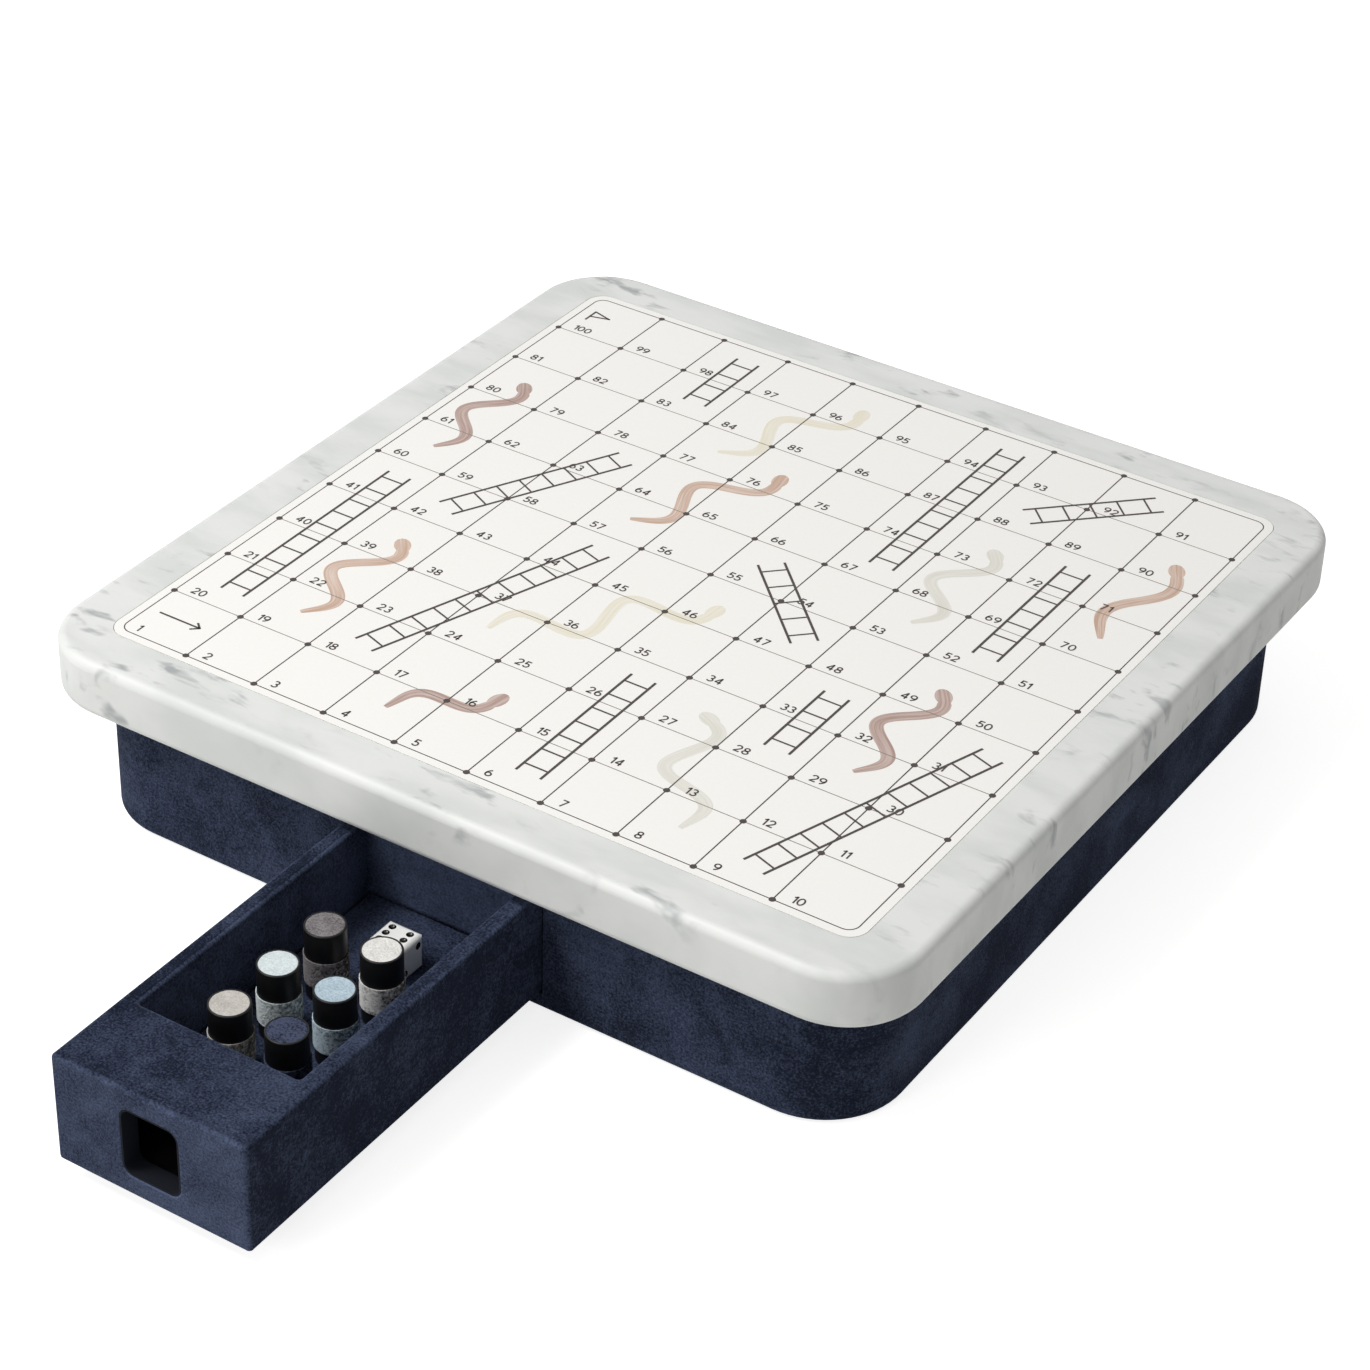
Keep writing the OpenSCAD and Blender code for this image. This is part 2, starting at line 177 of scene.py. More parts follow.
@dataclass(frozen=True)
class HonedMarble(Finish):
    """White marble, sawn and honed: a dull shine, faint clouds, and short soft grey veins."""

    ground: str = "#E5E6E3"
    cloud: str = "#D7D9D6"
    vein: str = "#A2A5A6"
    cloud_mm: float = 48.0
    warp_mm: float = 30.0
    vein_mm: float = 22.0
    patch_mm: float = 55.0
    # The stone's bed runs across the slab, so that veins slope on its sides
    bed_turn: tuple[float, float, float] = (0.5, 0.9, 0.6)
    bed_stretch: tuple[float, float, float] = (1.0, 2.6, 1.2)
    bend: float = 22 * MM
    # Values of each noise between which its part fades in
    cloud_from: Pair = (0.36, 0.7)
    vein_from: Pair = (0.55, 0.74)
    patch_from: Pair = (0.36, 0.62)
    vein_most: float = 0.95
    rough: Pair = (0.46, 0.58)

    def surface(self, tree: Tree) -> Inputs:
        """Clouds, then veins at the peaks of a warped, stretched noise, which show only in some patches.

        Args:
            tree: the material's node tree.

        Returns:
            Values and sockets for the shader's inputs.
        """
        place = add_node(tree, "TexCoord", output="Object")
        bed = add_node(
            tree, "Mapping", {"Vector": place, "Rotation": self.bed_turn, "Scale": self.bed_stretch}
        )
        warp = add_node(
            tree, "TexNoise", {"Vector": bed, "Scale": per_mm(self.warp_mm), "Detail": 2.0}, "Color"
        )
        bent = add_node(tree, "VectorMath", {0: warp, 1: (self.bend,) * 3, 2: bed}, operation="MULTIPLY_ADD")
        clouds, peaks, patches = (
            add_node(
                tree, "TexNoise",
                {"Vector": course, "Scale": per_mm(size), "Detail": detail, "Roughness": rough},
            )
            for course, size, detail, rough in (
                (bent, self.cloud_mm, 4.0, 0.5), (bent, self.vein_mm, 3.0, 0.55),
                (place, self.patch_mm, 1.0, 0.5),
            )
        )
        cloudy, vein, shown = (
            add_node(
                tree, "MapRange", {"Value": noise, "From Min": low, "From Max": high, "To Max": most},
                interpolation_type="SMOOTHSTEP",
            )
            for noise, (low, high), most in (
                (clouds, self.cloud_from, 1.0), (peaks, self.vein_from, 1.0),
                (patches, self.patch_from, self.vein_most),
            )
        )
        streak = add_node(tree, "Math", {0: vein, 1: shown}, operation="MULTIPLY")
        stone = linear(self.ground)
        for share, colour in ((cloudy, self.cloud), (streak, self.vein)):
            stone = add_node(
                tree, "Mix", {MIX_FACTOR: share, MIX_A: stone, MIX_B: linear(colour)}, MIX_RESULT,
                data_type="RGBA",
            )
        hone = add_node(tree, "MapRange", {"Value": clouds, "To Min": self.rough[0], "To Max": self.rough[1]})
        return {"Base Color": stone, "Roughness": hone, "IOR": 1.5}


@dataclass(frozen=True)
class NappedSuede(Finish):
    """Suede: split hide with a raised nap, matte and mottled, paler at its edges as wear and painted
    highlight, and with painted light and shade laid on.
    """

    deep: str
    pale: str
    patch_mm: float = 24.0
    mottle_mm: float = 5.0
    # Real fibres are under 0.1 mm, drawn coarser so that the nap shows in a picture of the whole board
    fibre_mm: float = 1.0
    contrast: float = 1.0
    mean: float = 0.5
    sheen: float = 0.1
    # Weights beside the mottling's, which is one, and how far the nap swings between the two colours
    patch_weight: float = 1.8
    fibre_weight: float = 3.2
    spread: float = 1.1
    # How much paler an edge is, as wear and painted highlight
    rub: float = 0.24
    nap_mm: float = 0.25

    def surface(self, tree: Tree) -> Inputs:
        """Brushed patches, mottling and fibre speckle mix the two colours, and raise the nap.

        Args:
            tree: the material's node tree.

        Returns:
            Values and sockets for the shader's inputs.
        """
        place = add_node(tree, "TexCoord", output="Object")
        patches, mottle, fibre = (
            add_node(
                tree, "TexNoise",
                {
                    "Vector": place, "Scale": per_mm(size), "Detail": detail, "Roughness": rough,
                    "Distortion": bend,
                },
            )
            for size, detail, rough, bend in (
                (self.patch_mm, 3.0, 0.5, 0.6), (self.mottle_mm, 4.0, 0.65, 0.0),
                (self.fibre_mm, 2.0, 0.7, 0.0),
            )
        )
        nap = mottle
        for noise, weight in ((patches, self.patch_weight), (fibre, self.fibre_weight)):
            nap = add_node(tree, "Math", {0: noise, 1: weight, 2: nap}, operation="MULTIPLY_ADD")
        # Each noise is about one half, so the nap's middle is half of the weights
        middle, spread = (self.patch_weight + 1 + self.fibre_weight) / 2, self.spread / self.contrast
        share = add_node(
            tree, "MapRange",
            {
                "Value": nap, "From Min": middle - spread, "From Max": middle + spread,
                "To Min": self.mean - 0.5, "To Max": self.mean + 0.5,
            },
            clamp=False,
        )
        # Edges are paler as wear and painted highlight; painted light and shade, with random patches on the
        # base's side, shift the colour further
        rubbed_and_highlight, brushed = (
            add_node(tree, "Attribute", output="Fac", attribute_name=name) for name in (RUBBED_AND_HIGHLIGHT, PAINTED_LIGHT_AND_PATCHES)
        )
        worn_and_highlit = add_node(tree, "Math", {0: rubbed_and_highlight, 1: self.rub, 2: share}, operation="MULTIPLY_ADD")
        lit = add_node(tree, "Math", {0: brushed, 1: worn_and_highlit}, operation="ADD", use_clamp=True)
        colour = add_node(
            tree, "Mix", {MIX_FACTOR: lit, MIX_A: linear(self.deep), MIX_B: linear(self.pale)}, MIX_RESULT,
            data_type="RGBA",
        )
        raised = add_node(tree, "Bump", {"Strength": 0.6, "Distance": self.nap_mm * MM, "Height": nap})
        return {
            "Base Color": colour, "Normal": raised, "Roughness": 0.95, "Specular IOR Level": 0.1,
            "Sheen Weight": self.sheen, "Sheen Roughness": 0.5, "Sheen Tint": linear(self.pale),
        }


@dataclass(frozen=True)
class GrainedSolid(Finish):
    """A plain solid whose colour, gloss and surface vary a little with one fine grain."""

    colour: str
    shade: str
    rough: float
    grain_mm: float = 1.2
    stretch: tuple[float, float, float] = (1.0, 1.0, 1.0)
    relief_mm: float = 0.03
    metallic: float = 0.0
    coat: float = 0.0
    specular: float = 0.5
    # Share by which the roughness varies
    uneven: float = 0.15

    def surface(self, tree: Tree) -> Inputs:
        """One noise, stretched along the grain, mixes two near colours and gives a faint relief.

        Args:
            tree: the material's node tree.

        Returns:
            Values and sockets for the shader's inputs.
        """
        place = add_node(tree, "TexCoord", output="Object")
        along = add_node(tree, "Mapping", {"Vector": place, "Scale": self.stretch})
        grain = add_node(
            tree, "TexNoise",
            {"Vector": along, "Scale": per_mm(self.grain_mm), "Detail": 5.0, "Roughness": 0.6},
        )
        share = add_node(tree, "MapRange", {"Value": grain, "From Min": 0.3, "From Max": 0.7})
        colour = add_node(
            tree, "Mix", {MIX_FACTOR: share, MIX_A: linear(self.shade), MIX_B: linear(self.colour)},
            MIX_RESULT, data_type="RGBA",
        )
        smooth, dull = self.rough * (1 - self.uneven), min(1.0, self.rough * (1 + self.uneven))
        gloss = add_node(tree, "MapRange", {"Value": grain, "To Min": smooth, "To Max": dull})
        relief = add_node(tree, "Bump", {"Strength": 0.4, "Distance": self.relief_mm * MM, "Height": grain})
        return {
            "Base Color": colour, "Roughness": gloss, "Normal": relief, "Metallic": self.metallic,
            "Specular IOR Level": self.specular, "Coat Weight": self.coat, "Coat Roughness": 0.08,
        }


@dataclass(frozen=True)
class BrushedInk(Finish):
    """Thin ink laid with a wide dry brush: pale, with streaks that follow the stroke."""

    colour: str
    thin: str
    streak_mm: float = 1.0
    run_mm: float = 30.0

    def surface(self, tree: Tree) -> Inputs:
        """Streaks from a noise on the stroke's own map, in metres, long along the stroke and fine across.

        Args:
            tree: the material's node tree.

        Returns:
            Values and sockets for the shader's inputs.
        """
        stroke = add_node(tree, "TexCoord", output="UV")
        streaks = add_node(
            tree, "Mapping", {"Vector": stroke, "Scale": (per_mm(self.run_mm), per_mm(self.streak_mm), 1.0)}
        )
        ink = add_node(
            tree, "TexNoise", {"Vector": streaks, "Scale": 1.0, "Detail": 3.0, "Roughness": 0.6}
        )
        share = add_node(tree, "MapRange", {"Value": ink, "From Min": 0.34, "From Max": 0.62})
        colour = add_node(
            tree, "Mix", {MIX_FACTOR: share, MIX_A: linear(self.thin), MIX_B: linear(self.colour)},
            MIX_RESULT, data_type="RGBA",
        )
        return {"Base Color": colour, "Roughness": 0.7, "Specular IOR Level": 0.3}


def paint(material: Material, nodes: Iterable[str]) -> None:
    """Gives CAD nodes one material.

    Args:
        material: the finish.
        nodes: names of the nodes.
    """
    for name in nodes:
        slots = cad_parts[name].data.materials
        slots.clear()
        slots.append(material)
        LOG.info("%s: %s", name, material.name)


def quads(rows: int, columns: int, round_columns: bool = False, round_rows: bool = False) -> np.ndarray:
    """Faces of a grid of points, row after row.

    Args:
        rows: number of rows of points.
        columns: number of points in a row.
        round_columns: whether each row closes on itself.
        round_rows: whether the last row joins the first.

    Returns:
        Four point numbers a face.
    """
    row, column = np.meshgrid(
        np.arange(rows if round_rows else rows - 1),
        np.arange(columns if round_columns else columns - 1),
        indexing="ij",
    )
    here, above = row * columns, (row + 1) % rows * columns
    beside = (column + 1) % columns
    corners = [here + column, here + beside, above + beside, above + column]
    return np.stack(corners, axis=-1).reshape(-1, 4)


def walk(across: np.ndarray, up: np.ndarray, turn_steps: int) -> tuple[np.ndarray, np.ndarray]:
    """A walk round a rectangle with round corners, anticlockwise from the lower end of its right side.

    A rounded outline is shares times the half sides less r, plus r times the direction. The shares run along
    the sides and wait at the corners, while the direction stays square to a side and turns at the corners.

    Args:
        across: shares from -1 to 1 along the sides that run in the first axis.
        up: shares along the sides that run in the second axis.
        turn_steps: steps of a corner's quarter turn.

    Returns:
        Shares of the half sides, and unit directions.
    """
    flat, wide = np.ones_like(up), np.ones_like(across)
    sides = (
        np.column_stack([flat, up]), np.column_stack([-across, wide]),
        np.column_stack([-flat, -up]), np.column_stack([across, -wide]),
    )
    turn = np.linspace(0, np.pi / 2, turn_steps + 1)[1:-1]
    shares, angles = [], []
    for quarter, side in enumerate(sides):
        start = quarter * np.pi / 2
        shares += [side, np.repeat(side[-1:], len(turn), axis=0)]
        angles += [np.full(len(side), start), start + turn]
    angle = np.concatenate(angles)
    return np.concatenate(shares), np.column_stack([np.cos(angle), np.sin(angle)])


def stand(flat: np.ndarray, height: np.ndarray) -> np.ndarray:
    """Rows of points of the plane, each row at its own height."""
    return np.dstack([flat, np.broadcast_to(height[:, None], flat.shape[:2])])


def swell(points: np.ndarray, length: float, seed: Seed, waves: int = 6) -> np.ndarray:
    """Uneven swell of a hand-laid surface, from -1 to 0: the mean of some sines along fixed directions.

    Args:
        points: places, three numbers each.
        length: length of a wave.
        seed: number that fixes the directions.
        waves: number of sines.

    Returns:
        One number a point.
    """
    draw = np.random.default_rng(int(seed))
    course = draw.normal(size=(3, waves))
    course *= 2 * np.pi / length / np.linalg.norm(course, axis=0)
    return 0.5 * (np.sin(points @ course + draw.uniform(0, 2 * np.pi, waves)).mean(axis=-1) - 1)


def quarter_round(steps: int) -> tuple[np.ndarray, np.ndarray, np.ndarray]:
    """A quarter circle of radius one: how far it has gone out, how far up, and how near its middle it is."""
    angle = np.linspace(0, np.pi / 2, steps + 1)
    return np.sin(angle), 1 - np.cos(angle), np.sin(2 * angle)


@dataclass
class Piece:
    """A mesh piece gathered from several patches of points and faces."""

    name: str
    smooth: bool = False
    points: list[np.ndarray] = field(default_factory=list)
    faces: list[list[int]] = field(default_factory=list)
    maps: list[np.ndarray] = field(default_factory=list)
    marks: dict[str, np.ndarray] = field(default_factory=dict)
    count: int = 0

    def add(
        self,
        points: np.ndarray,
        faces: np.ndarray,
        mapped: np.ndarray | None = None,
        marks: dict[str, np.ndarray | float] | None = None,
    ) -> None:
        """Adds one patch, without the points that no face uses.

        Args:
            points: its points, three numbers each.
            faces: point numbers within the patch.
            mapped: its map, two numbers a point, if a pattern follows the surface.
            marks: what the points of its rows carry, by name, if the piece is one patch.
        """
        used, numbers = np.unique(faces, return_inverse=True)
        self.points.append(points.reshape(-1, 3)[used])
        self.faces.extend((numbers.reshape(faces.shape) + self.count).tolist())
        self.count += len(used)
        if mapped is not None:
            self.maps.append(mapped.reshape(-1, 2)[used])
        for name, values in (marks or {}).items():
            self.marks[name] = np.broadcast_to(values, points.shape[:2]).ravel()[used]

    def make(
        self, material: Material, body: Body | str, slot: str, nodes: tuple[str, ...] = (), weld: bool = False
    ) -> bpy.types.Object:
        """Makes the object, with its place in its mesh.

        Args:
            material: its finish.
            body: the body that it rides on.
            slot: the record's material slot; not used.
            nodes: CAD nodes that it stands for.
            weld: whether points in one place are joined.

        Returns:
            The new object.
        """
        mesh = bpy.data.meshes.new(self.name)
        mesh.from_pydata(np.concatenate(self.points).tolist(), [], self.faces, shade_flat=not self.smooth)
        if self.maps:
            layer = mesh.uv_layers.new(name="Stroke")
            corner = np.empty(len(mesh.loops), dtype=np.int32)
            mesh.loops.foreach_get("vertex_index", corner)
            layer.data.foreach_set("uv", np.concatenate(self.maps)[corner].astype(np.float32).ravel())
        for name, values in self.marks.items():
            mark = mesh.attributes.new(name, "FLOAT", "POINT")
            mark.data.foreach_set("value", values.astype(np.float32))
        if weld:
            self.weld(mesh)
        mesh.materials.append(material)
        mesh.validate()
        piece = bpy.data.objects.new(self.name, mesh)
        bpy.context.scene.collection.objects.link(piece)
        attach(piece, body.value if isinstance(body, Body) else body)
        if nodes:
            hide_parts(*nodes)
        LOG.info("%s: %d faces", self.name, len(mesh.polygons))
        return piece

    @staticmethod
    def weld(mesh: bpy.types.Mesh) -> None:
        """Joins points that share a place, which also drops faces without area.

        Args:
            mesh: the mesh.
        """
        work = bmesh.new()
        work.from_mesh(mesh)
        bmesh.ops.remove_doubles(work, verts=work.verts, dist=WELD)
        work.to_mesh(mesh)
        work.free()


def thicken(piece: bpy.types.Object, thickness: float) -> None:
    """Gives a piece a wall behind its faces.

    Args:
        piece: the piece.
        thickness: thickness of the wall.
    """
    solid = piece.modifiers.new("wall", "SOLIDIFY")
    solid.thickness = thickness
    solid.offset = -1.0


@dataclass(frozen=True)
class Straight:
    """A straight pen stroke of a figure, in shares of its height."""

    start: Pair
    end: Pair

    def line(self, steps: int) -> np.ndarray:
        """The stroke's two ends, which need no steps."""
        return np.array([self.start, self.end])


@dataclass(frozen=True)
class Bow:
    """A round pen stroke of a figure: an arc of an ellipse, in shares of its height and degrees."""

    centre: Pair
    radii: Pair
    angles: Pair = (0, 360)

    def line(self, steps: int) -> np.ndarray:
        """Points along the arc."""
        angle = np.radians(np.linspace(*self.angles, steps))
        return np.array(self.centre) + np.column_stack([np.cos(angle), np.sin(angle)]) * self.radii


Strokes = tuple[Straight | Bow, ...]

# Plain round figures from 0 to 9, drawn with one pen
FIGURES: tuple[Strokes, ...] = (
    (Bow((0.34, 0.5), (0.28, 0.44)),),
    (Straight((0.08, 0.74), (0.32, 0.94)), Straight((0.32, 1), (0.32, 0))),
    (
        Bow((0.32, 0.68), (0.26, 0.26), (165, -35)), Straight((0.53, 0.53), (0.09, 0.06)),
        Straight((0.04, 0.06), (0.62, 0.06)),
    ),
    (Bow((0.3, 0.72), (0.23, 0.22), (150, -90)), Bow((0.3, 0.28), (0.27, 0.22), (90, -150))),
    (
        Straight((0.47, 1), (0.47, 0)), Straight((0.47, 0.97), (0.05, 0.28)),
        Straight((0.02, 0.28), (0.64, 0.28)),
    ),
    (
        Straight((0.56, 0.94), (0.14, 0.94)), Straight((0.17, 0.98), (0.12, 0.5)),
        Bow((0.31, 0.33), (0.27, 0.27), (135, -150)),
    ),
    (Bow((0.33, 0.31), (0.27, 0.25)), Bow((0.7, 0.34), (0.64, 0.64), (115, 180))),
    (Straight((0.04, 0.94), (0.62, 0.94)), Straight((0.58, 0.94), (0.22, 0))),
    (Bow((0.32, 0.73), (0.22, 0.21)), Bow((0.32, 0.28), (0.27, 0.22))),
    (Bow((0.33, 0.69), (0.27, 0.25)), Bow((-0.04, 0.66), (0.64, 0.64), (0, -65))),
)


class Sign(Enum):
    """Plain signs in the first and the last square: an arrow and a pennant on a pole."""

    FIRST = (
        Straight((0.06, 0.5), (3.4, 0.5)), Straight((2.9, 0.94), (3.44, 0.47)),
        Straight((2.9, 0.06), (3.44, 0.53)),
    )
    LAST = (
        Straight((0.08, -0.3), (0.08, 1.2)), Straight((0.08, 1.13), (1.6, 0.7)),
        Straight((1.6, 0.74), (0.08, 0.31)),
    )


class SnakeInk(Enum):
    """Inks of the snakes, each with its full and its thin colour."""

    SAND = ("#EAE3CF", "#F1EDE1")
    TAN = ("#C7A793", "#E2D0C3")
    MAUVE = ("#AD9288", "#D0BDB5")
    STONE = ("#E0DED3", "#ECEAE2")


class Layer(Enum):
    """Heights of the printed layers, in films. What crosses lies in different layers."""

    LINES = 2.0
    COLUMNS = 3.0
    DOTS = 4.0
    FIGURES = 5.0
    RUNGS = 5.5
    RAILS = 6.0


@dataclass(frozen=True)
class Snake:
    """A snake on the panel, from the square of its head to the square of its tail."""

    head: int
    tail: int
    ink: SnakeInk
    waves: float
    swing: float


@dataclass(frozen=True)
class Ladder:
    """A ladder on the panel, from its foot's square to its top's square."""

    foot: int
    top: int


@dataclass
class PrintedPanel:
    """The inlaid panel with its printed grid, numbers, ladders and snakes."""

    node: str = "playing_panel"
    slot: str = "printed_panel"
    cells: int = 10
    margin: float = 4 * MM
    film: float = 0.02 * MM
    column_line: float = 0.55 * MM
    row_line: float = 0.42 * MM
    frame_line: float = 0.5 * MM
    frame_corner: float = 5 * MM
    dot: float = 2.8 * MM
    dot_sides: int = 24
    corner_steps: int = 16
    digit_height: float = 4.5 * MM
    sign_height: float = 6.2 * MM
    # Pen and space between figures, in shares of their height
    pen: float = 0.15
    spacing: float = 0.24
    bow_steps: int = 20
    # Places within a square, in shares of it
    digit_at: Pair = (0.18, 0.07)
    sign_at: Pair = (0.17, 0.44)
    ladder_at: Pair = (0.58, 0.52)
    ladder_width: float = 11.4 * MM
    ladder_step: float = 11.0 * MM
    rail_over: float = 5.5 * MM
    rail: float = 1.1 * MM
    rung: float = 0.85 * MM
    snake_half: float = 2.9 * MM
    snake_head_half: float = 3.6 * MM
    snake_head_long: float = 11 * MM
    snake_taper: float = 18 * MM
    # Shares of the swing at a snake's ends, of the width at its tail, and of the film that its ink takes
    end_swing: float = 0.55
    tail_width: float = 0.35
    snake_film: float = 0.25
    along_steps: int = 160
    across_steps: int = 7
    ladders: tuple[Ladder, ...] = (
        Ladder(6, 26), Ladder(9, 31), Ladder(20, 41), Ladder(18, 44), Ladder(28, 33), Ladder(47, 55),
        Ladder(52, 72), Ladder(42, 63), Ladder(67, 94), Ladder(83, 98), Ladder(88, 92),
    )
    snakes: tuple[Snake, ...] = (
        Snake(96, 77, SnakeInk.SAND, 1.5, 0.3), Snake(90, 70, SnakeInk.TAN, 1.0, 0.26),
        Snake(80, 60, SnakeInk.MAUVE, 1.5, 0.24), Snake(76, 57, SnakeInk.TAN, 1.5, 0.3),
        Snake(73, 53, SnakeInk.STONE, 1.5, 0.28), Snake(49, 29, SnakeInk.MAUVE, 1.5, 0.26),
        Snake(46, 24, SnakeInk.SAND, 2.0, 0.34), Snake(39, 19, SnakeInk.TAN, 1.5, 0.28),
        Snake(27, 8, SnakeInk.STONE, 1.5, 0.3), Snake(16, 4, SnakeInk.MAUVE, 1.0, 0.24),
    )

    def __post_init__(self) -> None:
        """Takes the grid's corner, its square and the print's height from the panel."""
        low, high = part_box(self.node)
        self.corner = np.array([low.x + self.margin, low.y + self.margin])
        self.cell = (high.x - low.x - 2 * self.margin) / self.cells
        self.top = high.z

    def square(self, number: int) -> np.ndarray:
        """Column and row of a numbered square, which run to and fro from the front left."""
        row, column = divmod(number - 1, self.cells)
        return np.array([column if row % 2 == 0 else self.cells - 1 - column, row], dtype=float)

    def place(self, number: int, share: Pair = (0.5, 0.5)) -> np.ndarray:
        """A place in a numbered square, by its shares of the square."""
        return self.corner + (self.square(number) + share) * self.cell

    def lift(self, flat: np.ndarray, layer: Layer) -> np.ndarray:
        """Points of the plane, raised to the top face of a printed layer."""
        return np.column_stack([flat, np.full(len(flat), self.top + layer.value * self.film)])

    def lay(self, piece: Piece, ink: Material, share: float = 1.0) -> None:
        """Makes a printed piece as a film of ink, or a share of one."""
        thicken(piece.make(ink, Body.BOARD, self.slot), share * self.film)

    def strips(self, starts: np.ndarray, ends: np.ndarray, width: float) -> tuple[np.ndarray, np.ndarray]:
        """Straight printed lines: each is its run, moved half the width to either side.

        Args:
            starts: first ends, one row each.
            ends: second ends.
            width: width of the lines.

        Returns:
            Points and four-sided faces.
        """
        run = (ends - starts) / np.linalg.norm(ends - starts, axis=1, keepdims=True)
        side = np.column_stack([-run[:, 1], run[:, 0]]) * width / 2
        points = np.stack([starts - side, ends - side, ends + side, starts + side], axis=1).reshape(-1, 2)
        return points, np.arange(len(points)).reshape(-1, 4)

    def grid(self, ink: Material, pale_ink: Material) -> None:
        """Prints the lines between the squares and the frame round them.

        Args:
            ink: ink of the columns and the frame.
            pale_ink: ink of the rows.
        """
        reach = self.cells * self.cell
        steps = np.arange(1, self.cells) * self.cell
        starts, ends = np.column_stack([steps, 0 * steps]), np.column_stack([steps, 0 * steps + reach])
        # A row is a column with its two axes swapped
        for name, order, width, layer, colour in (
            ("grid_columns", [0, 1], self.column_line, Layer.COLUMNS, ink),
            ("grid_rows", [1, 0], self.row_line, Layer.LINES, pale_ink),
        ):
            lines = Piece(name)
            flat, faces = self.strips(self.corner + starts[:, order], self.corner + ends[:, order], width)
            lines.add(self.lift(flat, layer), faces)
            self.lay(lines, colour)
        # The frame is one rounded outline, half a line outside and half a line inside
        tips = np.array([-1.0, 1.0])
        shares, out = walk(tips, tips, self.corner_steps)
        core = self.corner + reach / 2 + shares * (reach / 2 - self.frame_corner)
        rims = [core + out * (self.frame_corner + side * self.frame_line / 2) for side in (1, -1)]
        border = Piece("grid_frame")
        border.add(self.lift(np.concatenate(rims), Layer.LINES), quads(2, len(core), True))
        self.lay(border, ink)

    def dots(self, ink: Material) -> None:
        """Prints a round dot on every crossing but the grid's four corners.

        Args:
            ink: its ink.
        """
        column, row = np.meshgrid(np.arange(self.cells + 1), np.arange(self.cells + 1), indexing="ij")
        at = np.column_stack([column.ravel(), row.ravel()])
        at = at[~np.all((at == 0) | (at == self.cells), axis=1)]
        angle = np.linspace(0, 2 * np.pi, self.dot_sides, endpoint=False)
        ring = np.column_stack([np.cos(angle), np.sin(angle)]) * self.dot / 2
        flat = (self.corner + at[:, None, :] * self.cell + ring[None, :, :]).reshape(-1, 2)
        piece = Piece("grid_dots")
        piece.add(self.lift(flat, Layer.DOTS), np.arange(len(flat)).reshape(-1, self.dot_sides))
        self.lay(piece, ink)

    def draw(self, piece: Piece, figures: Iterable[Strokes], start: np.ndarray, height: float) -> None:
        """Draws figures in a row: each stroke is its line, moved half the pen to either side.

        Args:
            piece: piece that takes the strokes.
            figures: strokes of each figure or sign.
            start: left end of the baseline.
            height: height of a figure.
        """
        for strokes in figures:
            lines = [stroke.line(self.bow_steps) * height for stroke in strokes]
            left = min(line[:, 0].min() for line in lines)
            for line in lines:
                course = np.gradient(line, axis=0)
                course /= np.linalg.norm(course, axis=1, keepdims=True)
                side = np.column_stack([-course[:, 1], course[:, 0]]) * self.pen * height / 2
                flat = (np.stack([line + side, line - side], axis=1) + start - [left, 0]).reshape(-1, 2)
                piece.add(self.lift(flat, Layer.FIGURES), quads(len(line), 2))
            start = start + [max(line[:, 0].max() for line in lines) - left + self.spacing * height, 0]

    def numbering(self, ink: Material) -> None:
        """Prints the numbers in their squares, and a sign in the first and the last square.

        Args:
            ink: their ink.
        """
        numbers, signs = Piece("printed_numbers"), Piece("printed_signs")
        last = self.cells**2
        for number in range(1, last + 1):
            figures = [FIGURES[int(digit)] for digit in str(number)]
            self.draw(numbers, figures, self.place(number, self.digit_at), self.digit_height)
        for number, sign in ((1, Sign.FIRST), (last, Sign.LAST)):
            self.draw(signs, [sign.value], self.place(number, self.sign_at), self.sign_height)
        self.lay(numbers, ink)
        self.lay(signs, ink)

    def draw_ladders(self, ink: Material) -> None:
        """Prints each ladder as two rails and evenly spaced rungs.

        Args:
            ink: their ink.
        """
        piece = Piece("printed_ladders")
        for ladder in self.ladders:
            foot, top = self.place(ladder.foot, self.ladder_at), self.place(ladder.top, self.ladder_at)
            length = np.linalg.norm(top - foot)
            run = (top - foot) / length
            side = np.array([-run[1], run[0]]) * self.ladder_width / 2
            ends = np.array([foot - run * self.rail_over, top + run * self.rail_over])
            flat, faces = self.strips(ends[[0, 0]] + [-side, side], ends[[1, 1]] + [-side, side], self.rail)
            piece.add(self.lift(flat, Layer.RAILS), faces)
            rungs = max(2, round(length / self.ladder_step))
            at = foot + run * np.linspace(0, length, rungs + 1)[:, None]
            flat, faces = self.strips(at - side, at + side, self.rung)
            piece.add(self.lift(flat, Layer.RUNGS), faces)
        self.lay(piece, ink)

    def draw_snakes(self) -> None:
        """Prints each snake as a brush stroke: a line that swings like a sine, with a head and thin tail."""
        strokes = {shade: Piece(f"snakes_{shade.name.lower()}") for shade in SnakeInk}
        t = np.linspace(0, 1, self.along_steps)
        across = np.linspace(-1, 1, self.across_steps)
        swell_out = self.end_swing + (1 - self.end_swing) * np.sin(np.pi * t)
